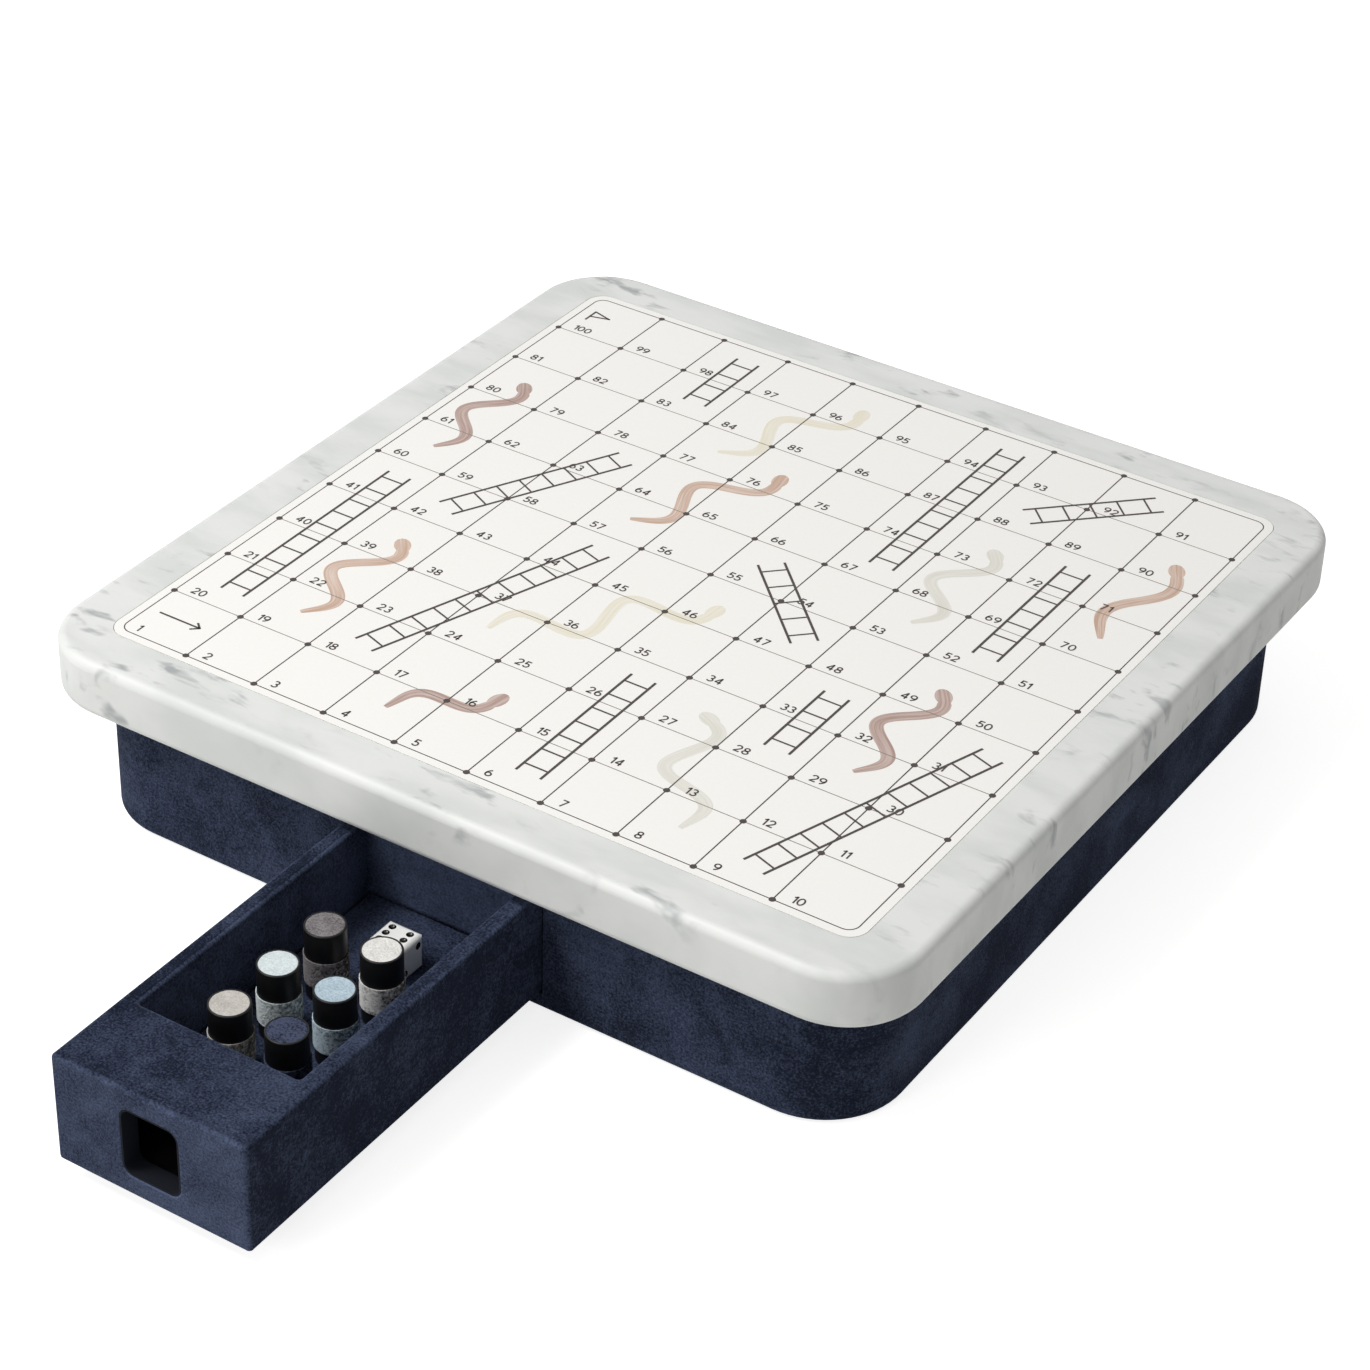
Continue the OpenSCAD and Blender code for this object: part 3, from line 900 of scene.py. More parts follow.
        # A stroke rises a little from head to tail, so that a crossing has an upper part
        height = self.top + self.film * (0.5 + t)
        for snake in self.snakes:
            head, tail = self.place(snake.head), self.place(snake.tail)
            run = tail - head
            side = np.array([-run[1], run[0]]) / np.linalg.norm(run)
            swing = snake.swing * self.cell * np.sin(2 * np.pi * snake.waves * t) * swell_out
            line = head + t[:, None] * run + swing[:, None] * side
            step = np.gradient(line, axis=0)
            length = np.concatenate([[0], np.cumsum(np.linalg.norm(np.diff(line, axis=0), axis=1))])
            course = step / np.linalg.norm(step, axis=1, keepdims=True)
            normal = np.column_stack([-course[:, 1], course[:, 0]])
            aside = self.half_width(length)[:, None] * across
            points = stand(line[:, None, :] + aside[:, :, None] * normal[:, None, :], height)
            mapped = np.dstack(np.broadcast_arrays(length[:, None] + snake.head * self.cell, aside))
            strokes[snake.ink].add(points, quads(self.along_steps, self.across_steps)[:, ::-1], mapped)
        for shade, piece in strokes.items():
            # Dry-brushed ink: pale and flat, with streaks that follow the snake
            ink = BrushedInk(f"brushed ink {shade.name.lower()}", *shade.value).make()
            self.lay(piece, ink, self.snake_film)

    def half_width(self, length: np.ndarray) -> np.ndarray:
        """Half the width of a stroke: half an ellipse for the head, then the body, thinning to the tail.

        Args:
            length: distance from the head's tip along the stroke.

        Returns:
            Half width at each distance.
        """
        middle = self.snake_head_long / 2
        head = self.snake_head_half * np.sqrt(np.clip(1 - ((length - middle) / middle) ** 2, 0, 1))
        body = self.snake_half * np.clip((length - middle) / middle, 0, 1) ** 0.5
        left = np.clip((length[-1] - length) / self.snake_taper, 0, 1)
        return np.maximum(head, body * (self.tail_width + (1 - self.tail_width) * left**0.7)) + self.film

    def build(self) -> None:
        """Prints the panel and dresses it."""
        # Screen-printed inks: flat and matt, one nearly black, one thin and greyer
        dark, pale = (
            GrainedSolid(name, colour, shade, rough=0.62, grain_mm=1.5, relief_mm=0.0).make()
            for name, colour, shade in (
                ("brown-black printing ink", "#433B38", "#352E2C"),
                ("grey-brown printing ink", "#8A827B", "#7A726C"),
            )
        )
        self.grid(dark, pale)
        self.dots(dark)
        self.numbering(dark)
        self.draw_ladders(dark)
        self.draw_snakes()
        # Pressed leather: warm white, satin, with a grain too fine to see from afar
        leather = GrainedSolid(
            "smooth off-white leather", "#FAF8F4", "#F7F5F0", rough=0.55, grain_mm=0.8, relief_mm=0.02
        )
        paint(leather.make(), [self.node])


@dataclass
class Slab:
    """The marble slab."""

    node: str = "marble_slab"

    def dress(self) -> None:
        """Gives the slab its stone."""
        paint(HonedMarble("honed white marble").make(), [self.node])


@dataclass
class BaseBox:
    """The suede-covered box under the slab."""

    slot: str = "navy_suede"
    corner_r: float = 36 * MM
    low_r: float = 3 * MM
    turn_under: float = 12 * MM
    skin: float = 1.2 * MM
    lip: float = 1.0 * MM
    hollow: float = 0.25 * MM
    swell_length: float = 70 * MM
    # Painted shade darkens the right side, with patches of random tone over it
    side_nap: float = -0.14
    side_patch: float = 0.9
    patch_length: float = 55 * MM
    # How far the lower edge is paler, as wear and painted highlight
    low_rub: float = 0.6
    # Places of the rows round the drawer's opening, in lips from its edge
    roll_at: tuple[float, ...] = (0, 0.12, 0.35, 0.65, 1.0, 1.3)
    side_steps: int = 70
    wall_steps: int = 22
    under_steps: int = 4
    turn_steps: int = 16
    bend_steps: int = 6
    boards: tuple[str, ...] = (
        "deck_panel", "floor_board", "left_wall", "right_wall", "back_wall", "front_wall_left",
        "front_wall_right", "corner_post_front_left", "corner_post_front_right", "corner_post_back_left",
        "corner_post_back_right", "drawer_guide_left", "drawer_guide_right", "drawer_stop_block",
    )
    # Felts, each with the radius of its corners
    felts: tuple[tuple[str, float], ...] = (("underside_felt", 32 * MM), ("drawer_stop_felt", 1 * MM))
    felt_slot: str = "navy_felt"
    felt_edge: float = 0.5 * MM
    felt_rings: int = 24

    def cover(self, suede: Material) -> None:
        """Wraps the suede round the box.

        A point is shares(u) times the flat half side, plus out(u) times the corner's radius less d(v), at
        height z(v). u walks round the box, and v follows the section from the edge turned in under the box,
        round the lower edge and up the wall. Faces in the drawer's opening are left out, and the suede rolls
        in at its edge.

        Args:
            suede: its finish.
        """
        low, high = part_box("base_suede")
        flat_half = high.x - self.corner_r
        opening_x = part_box("front_wall_right")[0].x
        opening_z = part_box("floor_board")[1].z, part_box("deck_panel")[0].z
        roll = self.lip * np.array(self.roll_at)
        near = (opening_x + roll) / flat_half
        even = np.linspace(-1, 1, self.side_steps + 1)
        shares, out = walk(np.unique(np.concatenate([even, near, -near])), even, self.turn_steps)
        outward, upward, bend = quarter_round(self.bend_steps)
        under = np.linspace(self.turn_under, self.low_r, self.under_steps)[:-1]
        wall = np.linspace(low.z + self.low_r, high.z, self.wall_steps + 1)[1:]
        wall = np.unique(np.concatenate([wall, opening_z[0] - roll, opening_z[1] + roll]))
        depth = np.concatenate([under, self.low_r * (1 - outward), 0 * wall])
        z = np.concatenate([low.z + 0 * under, low.z + self.low_r * upward, wall])
        points = stand(shares * flat_half + out * (self.corner_r - depth)[:, None, None], z)
        sink = self.hollow * swell(points, self.swell_length, Seed.BASE_COVER)
        points[..., :2] += sink[..., None] * out
        past = np.hypot(
            np.maximum(np.abs(points[..., 0]) - opening_x, 0),
            np.maximum(np.maximum(opening_z[0] - points[..., 2], points[..., 2] - opening_z[1]), 0),
        )
        rolled = 1 - np.clip(past / self.lip, 0, 1)
        rolled[:, out[:, 1] > -1] = 0
        points[..., 1] += self.lip * (1 - np.sqrt(1 - rolled**2))
        faces = quads(*points.shape[:2], True)
        middle = points.reshape(-1, 3)[faces].mean(axis=1)
        open_part = (np.abs(middle[:, 0]) < opening_x) & (middle[:, 1] < 0)
        open_part &= (middle[:, 2] > opening_z[0]) & (middle[:, 2] < opening_z[1])
        # The lower edge and the edge rolled into the opening are paler, as wear and painted highlight; the
        # right side carries painted shade and random patches
        rubbed_and_highlight = np.concatenate([0 * under, self.low_rub * bend, 0 * wall])
        patches = swell(points, self.patch_length, Seed.BRUSH_PATCHES) + 0.5
        brushed = (self.side_nap + self.side_patch * patches) * np.clip(out[:, 0], 0, 1) ** 0.5
        marks = {RUBBED_AND_HIGHLIGHT: np.maximum(rubbed_and_highlight[:, None], np.sin(np.pi * rolled)), PAINTED_LIGHT_AND_PATCHES: brushed}
        piece = Piece("base_cover", smooth=True)
        piece.add(points, faces[~open_part], marks=marks)
        thicken(piece.make(suede, Body.BOARD, self.slot, ("base_suede",), weld=True), self.skin)

    def felt(self, node: str, corner_r: float, wool: Material) -> None:
        """Lays a felt: a filled outline with round corners, soft edges and an uneven face.

        u walks round the outline. v runs from the middle of one face to its edge, round the edge, through the
        thickness and back to the middle of the other face.

        Args:
            node: CAD node that it stands for.
            corner_r: radius of its corners.
            wool: its finish.
        """
        low, high = (np.array(corner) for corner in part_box(node))
        thin = int(np.argmin(high - low))
        axes = [(thin + 1) % 3, (thin + 2) % 3]
        half, thickness = (high - low)[axes] / 2, (high - low)[thin]
        even = np.linspace(-1, 1, self.felt_rings)
        shares, out = walk(even, even, self.turn_steps)
        outward, upward, _ = quarter_round(self.bend_steps)
        sunk = np.concatenate([1 - outward, (1 - outward)[::-1]]) * self.felt_edge
        rise = np.concatenate([upward * self.felt_edge, thickness - upward[::-1] * self.felt_edge])
        edge = shares * (half - corner_r) + out * (corner_r - sunk)[:, None, None]
        fill = np.linspace(0, 1, self.felt_rings)[:-1, None, None]
        flat = np.concatenate([fill * edge[0], edge, fill[::-1] * edge[-1]])
        rise = np.concatenate([0 * fill.ravel(), rise, thickness + 0 * fill.ravel()])
        points = np.empty((*flat.shape[:2], 3))
        points[..., axes] = flat + ((low + high) / 2)[axes]
        points[..., thin] = low[thin] + rise[:, None]
        face = points[: len(fill)]
        face[1:, :, thin] -= self.hollow * swell(face[1:], self.swell_length, Seed.FELT)
        piece = Piece(f"{node}_wool", smooth=True)
        piece.add(points, quads(*points.shape[:2], True))
        piece.make(wool, Body.BOARD, self.felt_slot, (node,), weld=True)

    def dress(self, suede: Material, board: Material) -> None:
        """Gives the boards, felts and cover their finishes.

        Args:
            suede: finish of the cover.
            board: finish of the boards.
        """
        paint(board, self.boards)
        self.cover(suede)
        # Wool pressed to a sheet: dark, even and dull
        wool = NappedSuede(
            "pressed wool felt", "#1C1F30", "#2A2E44", patch_mm=18.0, mottle_mm=4.0, fibre_mm=1.2
        ).make()
        for node, corner_r in self.felts:
            self.felt(node, corner_r, wool)


@dataclass
class Drawer:
    """The drawer with its tray and finger pull."""

    slot: str = "navy_suede"
    edge_r: float = 2 * MM
    lip: float = 1.5 * MM
    tuck: float = 0.6 * MM
    hole_lip: float = 0.8 * MM
    hole_corner_r: float = 5 * MM
    tray_corner_r: float = 1.5 * MM
    skin: float = 1 * MM
    floor_round: float = 0.9 * MM
    hollow: float = 0.12 * MM
    pucker: float = 0.5 * MM
    swell_length: float = 45 * MM
    pucker_length: float = 22.5 * MM
    # Space between rows of points, and the narrow row that keeps an edge crisp
    step: float = 3 * MM
    close: float = 0.2 * MM
    edge_steps: int = 6
    turn_steps: int = 6
    face_steps: int = 10
    wall_steps: int = 14
    # Painted light and shade: the front paler, the sides darker, the top darker towards its left, and the
    # tray's walls, ends and floor paler
    front_nap: float = 0.2
    top_nap: float = -0.09
    side_nap: float = -0.2
    wall_nap: float = 0.15
    end_nap: float = 0.45
    floor_nap: float = 0.08
    boards: tuple[str, ...] = (
        "drawer_front", "drawer_left_side", "drawer_right_side", "drawer_back", "drawer_bottom",
        "drawer_cover", "tray_front_wall", "tray_back_wall",
    )

    def __post_init__(self) -> None:
        """Takes the drawer's and the tray's places from the frame."""
        self.low, self.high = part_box("drawer_suede")
        self.tray_low, self.tray_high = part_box("tray_floor")
        self.tail_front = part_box("tray_back_wall")[1].y
        self.tail_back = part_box("drawer_back")[0].y

    def shares(self, half: float, *marks: float) -> np.ndarray:
        """Shares from -1 to 1 along a side, a step apart, close at the ends and with a point at each mark.

        Args:
            half: half the side.
            marks: distances from its middle.

        Returns:
            The shares, in order.
        """
        even = np.linspace(-1, 1, max(2, round(2 * half / self.step)) + 1)
        extra = np.array([1 - self.close / half, *(mark / half for mark in marks)])
        return np.unique(np.concatenate([even, extra, -extra]))

    def cover(self, suede: Material) -> None:
        """Wraps the suede round the drawer.

        u walks round the drawer's rectangular section. v starts in the finger hole, follows its rolled edge,
        runs over the front as a ruled surface from the hole to the front's outline, rounds the front edge and
        follows the drawer to its rear end. Faces over the tray and the tail are left out.

        Args:
            suede: its finish.
        """
        low, high = self.low, self.high
        middle = np.array([0, (low.z + high.z) / 2])
        half = np.array([high.x, (high.z - low.z) / 2]) - self.edge_r
        ring_low, ring_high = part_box("pull_ring")
        hole = np.array([ring_high.x, (ring_high.z - ring_low.z) / 2]) - self.hole_corner_r
        opening = self.tray_high.x + self.lip
        shares, out = walk(self.shares(half[0], opening), self.shares(half[1]), self.turn_steps)
        outward, upward, bend = quarter_round(self.edge_steps)
        length = high.y - low.y
        stops = np.array([
            self.edge_r + self.close, self.tray_low.y - self.lip - low.y, self.tray_high.y + self.lip - low.y,
            self.tail_front - low.y, self.tail_back - low.y, length,
        ])
        run = np.unique(np.concatenate([np.arange(self.edge_r, length, self.step)[1:], stops]))
        lips = shares * hole + out * (self.hole_corner_r + self.hole_lip * upward)[:, None, None]
        inner, outline = lips[-1], shares * half
        share = np.linspace(0, 1, self.face_steps + 1)[1:, None, None]
        edges = outline + out * (self.edge_r * outward[1:])[:, None, None]
        sides = np.broadcast_to(edges[-1], (len(run), *outline.shape))
        flat = np.concatenate([lips, inner + share * (outline - inner), edges, sides]) + middle
        level = np.zeros(self.face_steps)
        y = low.y + np.concatenate([self.hole_lip * (1 - outward), level, self.edge_r * upward[1:], run])
        points = stand(flat, y)[..., [0, 2, 1]]
        sink = self.hollow * swell(points, self.swell_length, Seed.DRAWER_COVER)
        points[-len(run) :, :, 0] += sink[-len(run) :] * out[:, 0]
        faces = quads(*points.shape[:2], True)[:, ::-1]
        centre = points.reshape(-1, 3)[faces].mean(axis=1)
        over_tray = (centre[:, 1] > stops[1] + low.y) & (centre[:, 1] < stops[2] + low.y)
        over_tail = (centre[:, 1] > self.tail_front) & (centre[:, 1] < self.tail_back)
        open_part = (np.abs(centre[:, 0]) < opening) & (centre[:, 2] > middle[1]) & (over_tray | over_tail)
        # Edges round the hole, the front and the body are paler, as wear and painted highlight
        along = np.concatenate([bend, level, bend[1:], 0 * run])[:, None]
        # The painted light goes from the front's, at one, to the sides' painted shade, at zero, round the
        # front edge
        front = np.concatenate([1 + 0 * bend, 1 + level, 1 - outward[1:], 0 * run])[:, None]
        past_front = (np.arange(len(points)) >= len(lips) + self.face_steps)[:, None]
        corner = np.abs(2 * out[:, 0] * out[:, 1])
        side = self.side_nap * np.abs(out[:, 0]) ** 4
        side += self.top_nap * np.clip(out[:, 1], 0, 1) ** 4 * (1 - shares[:, 0])
        marks = {
            RUBBED_AND_HIGHLIGHT: np.maximum(along, past_front * corner),
            PAINTED_LIGHT_AND_PATCHES: self.front_nap * front + (1 - front) * side,
        }
        piece = Piece("drawer_cover_suede", smooth=True)
        piece.add(points, faces[~open_part], marks=marks)
        thicken(piece.make(suede, Body.DRAWER, self.slot, ("drawer_suede",), weld=True), self.skin)

    def lining(self, suede: Material) -> None:
        """Lines the tray: u walks round it, and v goes from under the cover, over a lip and down the wall.

        Args:
            suede: its finish.
        """
        low, high = self.tray_low, self.tray_high
        top = self.high.z
        middle = np.array([0, (low.y + high.y) / 2])
        half = np.array([high.x, (high.y - low.y) / 2])
        shares, out = walk(self.shares(half[0]), self.shares(half[1]), self.turn_steps)
        outward, upward, bend = quarter_round(self.edge_steps)
        wall = np.linspace(top - self.lip, high.z - self.skin, self.wall_steps)[1:]
        past = np.concatenate([self.lip * (1 - outward), 0 * wall])
        z = np.concatenate([[top - self.tuck / 2], top - self.lip * upward, wall])
        rows = shares * (half - self.tray_corner_r) + out * (self.tray_corner_r + past)[:, None, None]
        rim = shares * (half + self.lip + self.tuck)
        points = stand(np.concatenate([rim[None], rows]) + middle, z)
        sink = self.pucker * swell(points, self.pucker_length, Seed.TRAY_LINING)
        points[-len(wall) :, :, :2] -= sink[-len(wall) :, :, None] * out
        # Painted light on the tray's walls, stronger on its ends; the lip is paler, as wear and painted
        # highlight
        nap = self.wall_nap * out[:, 0] ** 2 + self.end_nap * out[:, 1] ** 2
        marks = {
            RUBBED_AND_HIGHLIGHT: np.concatenate([[0], bend, 0 * wall])[:, None],
            PAINTED_LIGHT_AND_PATCHES: np.concatenate([[0], 0 * bend, 1 + 0 * wall])[:, None] * nap,
        }
        piece = Piece("tray_lining_suede", smooth=True)
        piece.add(points, quads(*points.shape[:2], True), marks=marks)
        thicken(piece.make(suede, Body.DRAWER, self.slot, ("tray_lining",), weld=True), self.skin)

    def floor(self, suede: Material) -> None:
        """Covers the tray's floor: level, slightly uneven, and rounded down where it meets the walls.

        Args:
            suede: its finish.
        """
        low, high = self.tray_low, self.tray_high
        half_x, half_y = high.x, (high.y - low.y) / 2
        bends = self.floor_round, self.floor_round / 2
        x = half_x * self.shares(half_x, *(half_x - bend for bend in bends))
        y = (low.y + high.y) / 2 + half_y * self.shares(half_y, *(half_y - bend for bend in bends))
        across, along = np.meshgrid(x, y)
        edge = np.minimum(high.x - np.abs(across), np.minimum(along - low.y, high.y - along))
        near = 1 - np.clip(edge / self.floor_round, 0, 1)
        height = high.z - self.floor_round * (1 - np.sqrt(1 - near**2))
        points = np.dstack([across, along, height])
        points[..., 2] += self.hollow * swell(points, self.swell_length, Seed.TRAY_FLOOR)
        piece = Piece("tray_floor_suede", smooth=True)
        # Painted light on the tray's floor
        piece.add(points, quads(*points.shape[:2]), marks={PAINTED_LIGHT_AND_PATCHES: self.floor_nap})
        floor = piece.make(suede, Body.DRAWER, self.slot, ("tray_floor",))
        thicken(floor, high.z - low.z - self.floor_round)

    def dress(self, suede: Material, board: Material) -> None:
        """Gives the boards, suede, pull and pin their finishes.

        Args:
            suede: finish of the cover, the lining and the floor.
            board: finish of the boards.
        """
        paint(board, self.boards)
        self.cover(suede)
        self.lining(suede)
        self.floor(suede)
        # Sprayed and left matt: black with hardly a highlight
        ring = GrainedSolid(
            "matt black lacquered ring", "#1A1D24", "#16191F", rough=0.8, grain_mm=0.6, specular=0.1
        )
        paint(ring.make(), ["pull_ring"])
        # Turned on a lathe: bright, with fine rings
        steel = GrainedSolid(
            "turned steel", "#BDBEC0", "#A9AAAD", rough=0.32, grain_mm=0.5, stretch=(1.0, 1.0, 6.0),
            relief_mm=0.01, metallic=1.0,
        )
        paint(steel.make(), ["drawer_stop_pin"])


class PawnSuede(Enum):
    """Suede colours of the pawns: deep, pale, painted shade in the hollows of the rough band, and speckle of
    the sheared cap.
    """

    BEIGE = ("#958E86", "#D3CFC8", "#5A554F", 0.9)
    ICE = ("#9BA8AA", "#EAF3F4", "#66727A", 0.7)
    MAUVE = ("#433E3F", "#8C8789", "#2A2728", 1.6)
    NAVY = ("#161A29", "#4A5168", "#0F121D", 2.4)
    SKY = ("#71899A", "#C6D8E2", "#3E4E5B", 1.0)
    CREAM = ("#9E9890", "#FAF8F4", "#605B55", 0.6)


@dataclass
class Pawn:
    """A turned pawn with a suede band and cap."""

    suede: PawnSuede
    wall: float = 0.55 * MM
    edge_r: float = 0.22 * MM
    # Depth of the rough nap, and the lengths of its lumps and its fluff on the band and on the cap
    rough: float = 0.13 * MM
    band_waves: Pair = (3.1 * MM, 1.3 * MM)
    cap_waves: Pair = (2.9 * MM, 1.2 * MM)
    # Painted light and shade round the band: one side paler, and the other, at this angle, darker
    band_nap: float = 0.5
    band_turn: float = math.radians(32)
    round_steps: int = 160
    height_steps: int = 26
    edge_steps: int = 4
    cap_rings: int = 14

    def __post_init__(self) -> None:
        """Takes the pawn's names from its colour."""
        self.body = f"pawn_{self.suede.name.lower()}"
        self.slot = f"suede_{self.suede.name.lower()}"

    def carry(self, profile: np.ndarray, node: str) -> np.ndarray:
        """Carries a profile of radius and height round the axis of a node of the pawn.

        Args:
            profile: points, radius and height each.
            node: CAD node that gives the axis.

        Returns:
            Rows of points, one row for each point of the profile.
        """
        low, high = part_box(node)
        angle = np.linspace(0, 2 * np.pi, self.round_steps, endpoint=False)
        x = (low.x + high.x) / 2 + profile[:, :1] * np.cos(angle)
        y = (low.y + high.y) / 2 + profile[:, :1] * np.sin(angle)
        return stand(np.dstack([x, y]), profile[:, 1])

    def dents(self, points: np.ndarray, waves: Pair, lumps: Seed, nap: Seed) -> np.ndarray:
        """How far a rough surface lies below its smooth form: the sum of two swells."""
        return self.rough * (swell(points, waves[0], lumps) + swell(points, waves[1], nap))

    def band(self, nap: Material) -> None:
        """Makes the band: a rounded strip's section, carried round the pawn, with a rough nap outside.

        Args:
            nap: its finish.
        """
        node = f"{self.body}_band"
        low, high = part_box(node)
        outer = (high.x - low.x) / 2
        half = np.array([self.wall / 2, (high.z - low.z) / 2])
        tips, even = np.array([-1.0, 1.0]), np.linspace(-1, 1, self.height_steps)
        shares, out = walk(tips, even, self.edge_steps)
        middle = np.array([outer - self.wall / 2, (low.z + high.z) / 2])
        points = self.carry(middle + shares * (half - self.edge_r) + out * self.edge_r, node)
        outside = np.maximum(out[:, 0], 0)[:, None]
        dent = self.dents(points, self.band_waves, Seed.BAND_LUMPS, Seed.BAND_NAP) * outside
        axis = np.array([(low.x + high.x) / 2, (low.y + high.y) / 2])
        points[..., :2] += (points[..., :2] - axis) / outer * dent[..., None]
        # Painted light and shade round the band, and paler edges, as wear and painted highlight
        lay = np.array([math.cos(self.band_turn), math.sin(self.band_turn)])
        rubbed_and_highlight = np.abs(2 * out[:, 0] * out[:, 1]) * (out[:, 0] > 0)
        marks = {RUBBED_AND_HIGHLIGHT: rubbed_and_highlight[:, None], PAINTED_LIGHT_AND_PATCHES: self.band_nap * (axis - points[..., :2]) @ lay / outer}
        piece = Piece(f"{self.body}_band_suede", smooth=True)
        piece.add(points, quads(*points.shape[:2], True, True), marks=marks)
        piece.make(nap, self.body, self.slot, (node,))

    def cap(self, nap: Material) -> None:
        """Makes the cap: a disc with a rounded upper edge and a rough top, as a profile from pole to pole.

        Args:
            nap: its finish.
        """
        node = f"{self.body}_cap"
        low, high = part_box(node)
        radius = (high.x - low.x) / 2
        outward, upward, _ = quarter_round(self.edge_steps)
        flat = np.linspace(radius - self.edge_r, 0, self.cap_rings)[1:]
        under = [(0, low.z), (radius, low.z)]
        profile = np.concatenate([
            under,
            np.column_stack([radius - self.edge_r * upward, high.z - self.edge_r * (1 - outward)]),
            np.column_stack([flat, 0 * flat + high.z]),
        ])
        points = self.carry(profile, node)
        top = points[len(under) :]
        top[..., 2] += self.dents(top, self.cap_waves, Seed.CAP_LUMPS, Seed.CAP_NAP)
        top[-1, :, 2] = top[-1, :, 2].mean()
        piece = Piece(f"{self.body}_cap_suede", smooth=True)
        piece.add(points, quads(*points.shape[:2], True))
        piece.make(nap, self.body, self.slot, (node,), weld=True)

    def dress(self, core: Material) -> None:
        """Gives the core its finish and makes the band and cap.

        Args:
            core: finish of the core.
        """
        paint(core, [f"{self.body}_core"])
        name = f"{self.suede.name.lower()} suede"
        deep, pale, hollow, speckle = self.suede.value
        # Rough side out: fluffy, with painted shade in the hollows of the nap
        rough = NappedSuede(
            f"{name}, rough", hollow, pale, patch_mm=2.6, mottle_mm=1.8, fibre_mm=1.2, contrast=2.0, mean=0.7
        )
        # Sheared short: nearly even, with a light speckle
        sheared = NappedSuede(
            f"{name}, sheared", deep, pale, patch_mm=6.0, mottle_mm=2.0, fibre_mm=0.8, contrast=speckle,
            mean=0.74,
        )
        self.band(rough.make())
        self.cap(sheared.make())


@dataclass
class Die:
    """The die with its hollowed pips."""

    body: str = "die_body"
    pips: str = "die_pips"

    def dress(self) -> None:
        """Gives the body and the pips their finishes."""
        # Cast and tumbled: clean white with a tight highlight
        resin = GrainedSolid(
            "polished white resin", "#FDFDFB", "#FAFAF7", rough=0.18, grain_mm=3.0, relief_mm=0.0, coat=0.1
        )
        paint(resin.make(), [self.body])
        # Filled by hand: black and wet-looking
        enamel = GrainedSolid("black enamel", "#0F0F11", "#0A0A0B", rough=0.12, grain_mm=0.8, relief_mm=0.0)
        paint(enamel.make(), [self.pips])


@dataclass(frozen=True)
class Softbox:
    """A square area lamp, aimed at the board."""

    name: str
    place: tuple[float, float, float]
    size: float
    power: float


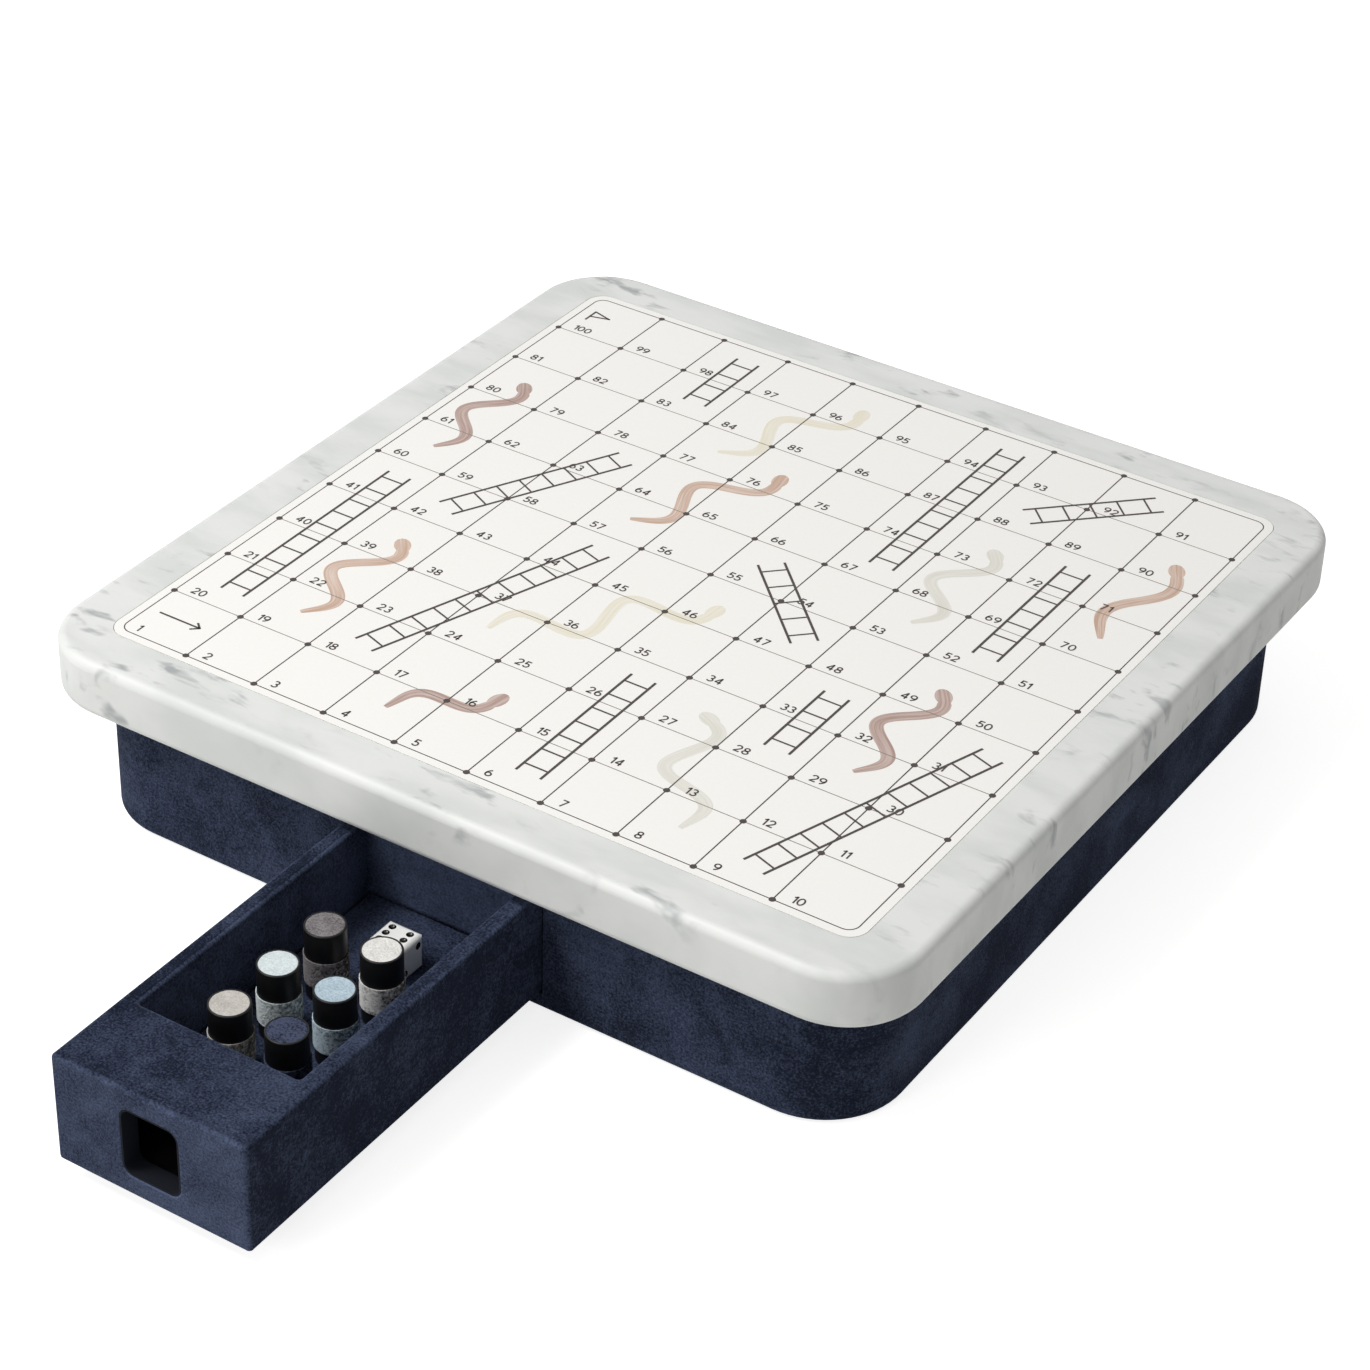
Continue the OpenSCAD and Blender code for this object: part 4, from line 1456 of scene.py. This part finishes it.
@dataclass
class Studio:
    """White floor, soft light and the camera."""

    # The camera's place, with its height above the playing panel
    eye: tuple[float, float, float] = (0.6725, -1.0924, 0.8177)
    azimuth: float = 32.02
    elevation: float = 34.254
    roll: float = 1.94
    lens: float = 96.16
    sensor: float = 36.0
    floor_reach: float = 8.0
    floor_colour: str = "#D2D2D0"
    floor_glow: float = 0.8
    world_light: float = 0.36
    lamps: tuple[Softbox, ...] = (
        Softbox("key softbox", (-1.0, -1.0, 2.2), 0.8, 40.5),
        Softbox("front softbox", (-0.45, -2.5, 1.1), 0.7, 13.5),
    )

    def floor(self) -> None:
        """Lays a pale floor that glows for the camera and mirrors, and still takes the shadow."""
        reach = self.floor_reach
        corners = [(-reach, -reach, 0), (reach, -reach, 0), (reach, reach, 0), (-reach, reach, 0)]
        mesh = bpy.data.meshes.new("floor")
        mesh.from_pydata(corners, [], [(0, 1, 2, 3)])
        floor = bpy.data.objects.new("floor", mesh)
        bpy.context.scene.collection.objects.link(floor)
        material = bpy.data.materials.new("white paper sweep")
        material.use_nodes = True
        tree = material.node_tree
        glow = add_node(tree, "Math", {0: self.seen(tree), 1: self.floor_glow}, operation="MULTIPLY")
        wire(tree, tree.nodes["Principled BSDF"], {
            "Base Color": linear(self.floor_colour), "Roughness": 1.0, "Specular IOR Level": 0.0,
            "Emission Color": WHITE, "Emission Strength": glow,
        })
        mesh.materials.append(material)

    def seen(self, tree: Tree) -> Socket:
        """One for camera, glossy and transmitted rays, and zero for light that falls on the object.

        Args:
            tree: tree that takes the nodes.

        Returns:
            The socket with that value.
        """
        seen = add_node(tree, "LightPath", output="Is Camera Ray")
        for ray in ("Is Glossy Ray", "Is Transmission Ray"):
            mirrored = add_node(tree, "LightPath", output=ray)
            seen = add_node(tree, "Math", {0: mirrored, 1: seen}, operation="MAXIMUM")
        return seen

    def surround(self) -> None:
        """Makes a white surround that shows as white and lights softly."""
        world = bpy.data.worlds.new("white surround")
        bpy.context.scene.world = world
        world.use_nodes = True
        tree = world.node_tree
        strength = add_node(
            tree, "MapRange", {"Value": self.seen(tree), "To Min": self.world_light, "To Max": 1.0}
        )
        wire(tree, tree.nodes["Background"], {"Color": WHITE, "Strength": strength})

    def hang(self, box: Softbox) -> None:
        """Hangs one soft lamp and turns it to the board.

        Args:
            box: the lamp.
        """
        light = bpy.data.lights.new(box.name, "AREA")
        light.energy = box.power
        light.size = box.size
        lamp = bpy.data.objects.new(box.name, light)
        place = Vector(box.place)
        lamp.location = place
        lamp.rotation_euler = (-place).to_track_quat("-Z", "Y").to_euler()
        bpy.context.scene.collection.objects.link(lamp)

    def camera(self) -> None:
        """Sets the camera by its place, the way it faces and its roll."""
        turn, tilt, roll = (math.radians(angle) for angle in (self.azimuth, self.elevation, self.roll))
        ahead = Vector((-math.sin(turn) * math.cos(tilt), math.cos(turn) * math.cos(tilt), -math.sin(tilt)))
        level = Vector((math.cos(turn), math.sin(turn), 0.0))
        above = level.cross(ahead)
        right = math.cos(roll) * level + math.sin(roll) * above
        up = right.cross(ahead)
        eye = Vector(self.eye) + Vector((0.0, 0.0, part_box("playing_panel")[1].z))
        data = bpy.data.cameras.new("camera")
        data.lens = self.lens
        data.sensor_width = self.sensor
        camera = bpy.data.objects.new("camera", data)
        camera.matrix_world = Matrix.Translation(eye) @ Matrix((right, up, -ahead)).transposed().to_4x4()
        bpy.context.scene.collection.objects.link(camera)
        bpy.context.scene.camera = camera

    def build(self) -> None:
        """Sets the floor, the light and the camera."""
        bpy.context.scene.view_settings.view_transform = "Standard"
        self.floor()
        self.surround()
        for box in self.lamps:
            self.hang(box)
        self.camera()


def main() -> None:
    """Builds and dresses the sub-assemblies in order."""
    logging.basicConfig(level=logging.INFO, format="%(name)s: %(message)s")
    Studio().build()
    # Split hide, brushed by hand: deep navy, mottled, with paler patches and no shine
    suede = NappedSuede("navy suede", "#131928", "#515B75", contrast=1.25, mean=0.3).make()
    # Near black and left raw, as painted shade, so that the hollow behind the finger hole reads as black
    board = GrainedSolid(
        "near-black fibreboard painted as shade", "#0A0A0D", "#070709", rough=0.95, grain_mm=0.7, relief_mm=0.05, specular=0.1
    ).make()
    # Sprayed and rubbed down: black with a soft highlight
    core = GrainedSolid(
        "satin black lacquer", "#121213", "#0B0B0C", rough=0.42, grain_mm=0.9, relief_mm=0.01, specular=0.3
    ).make()
    Slab().dress()
    PrintedPanel().build()
    BaseBox().dress(suede, board)
    Drawer().dress(suede, board)
    for colour in PawnSuede:
        Pawn(colour).dress(core)
    Die().dress()


if __name__ == "__main__":
    main()
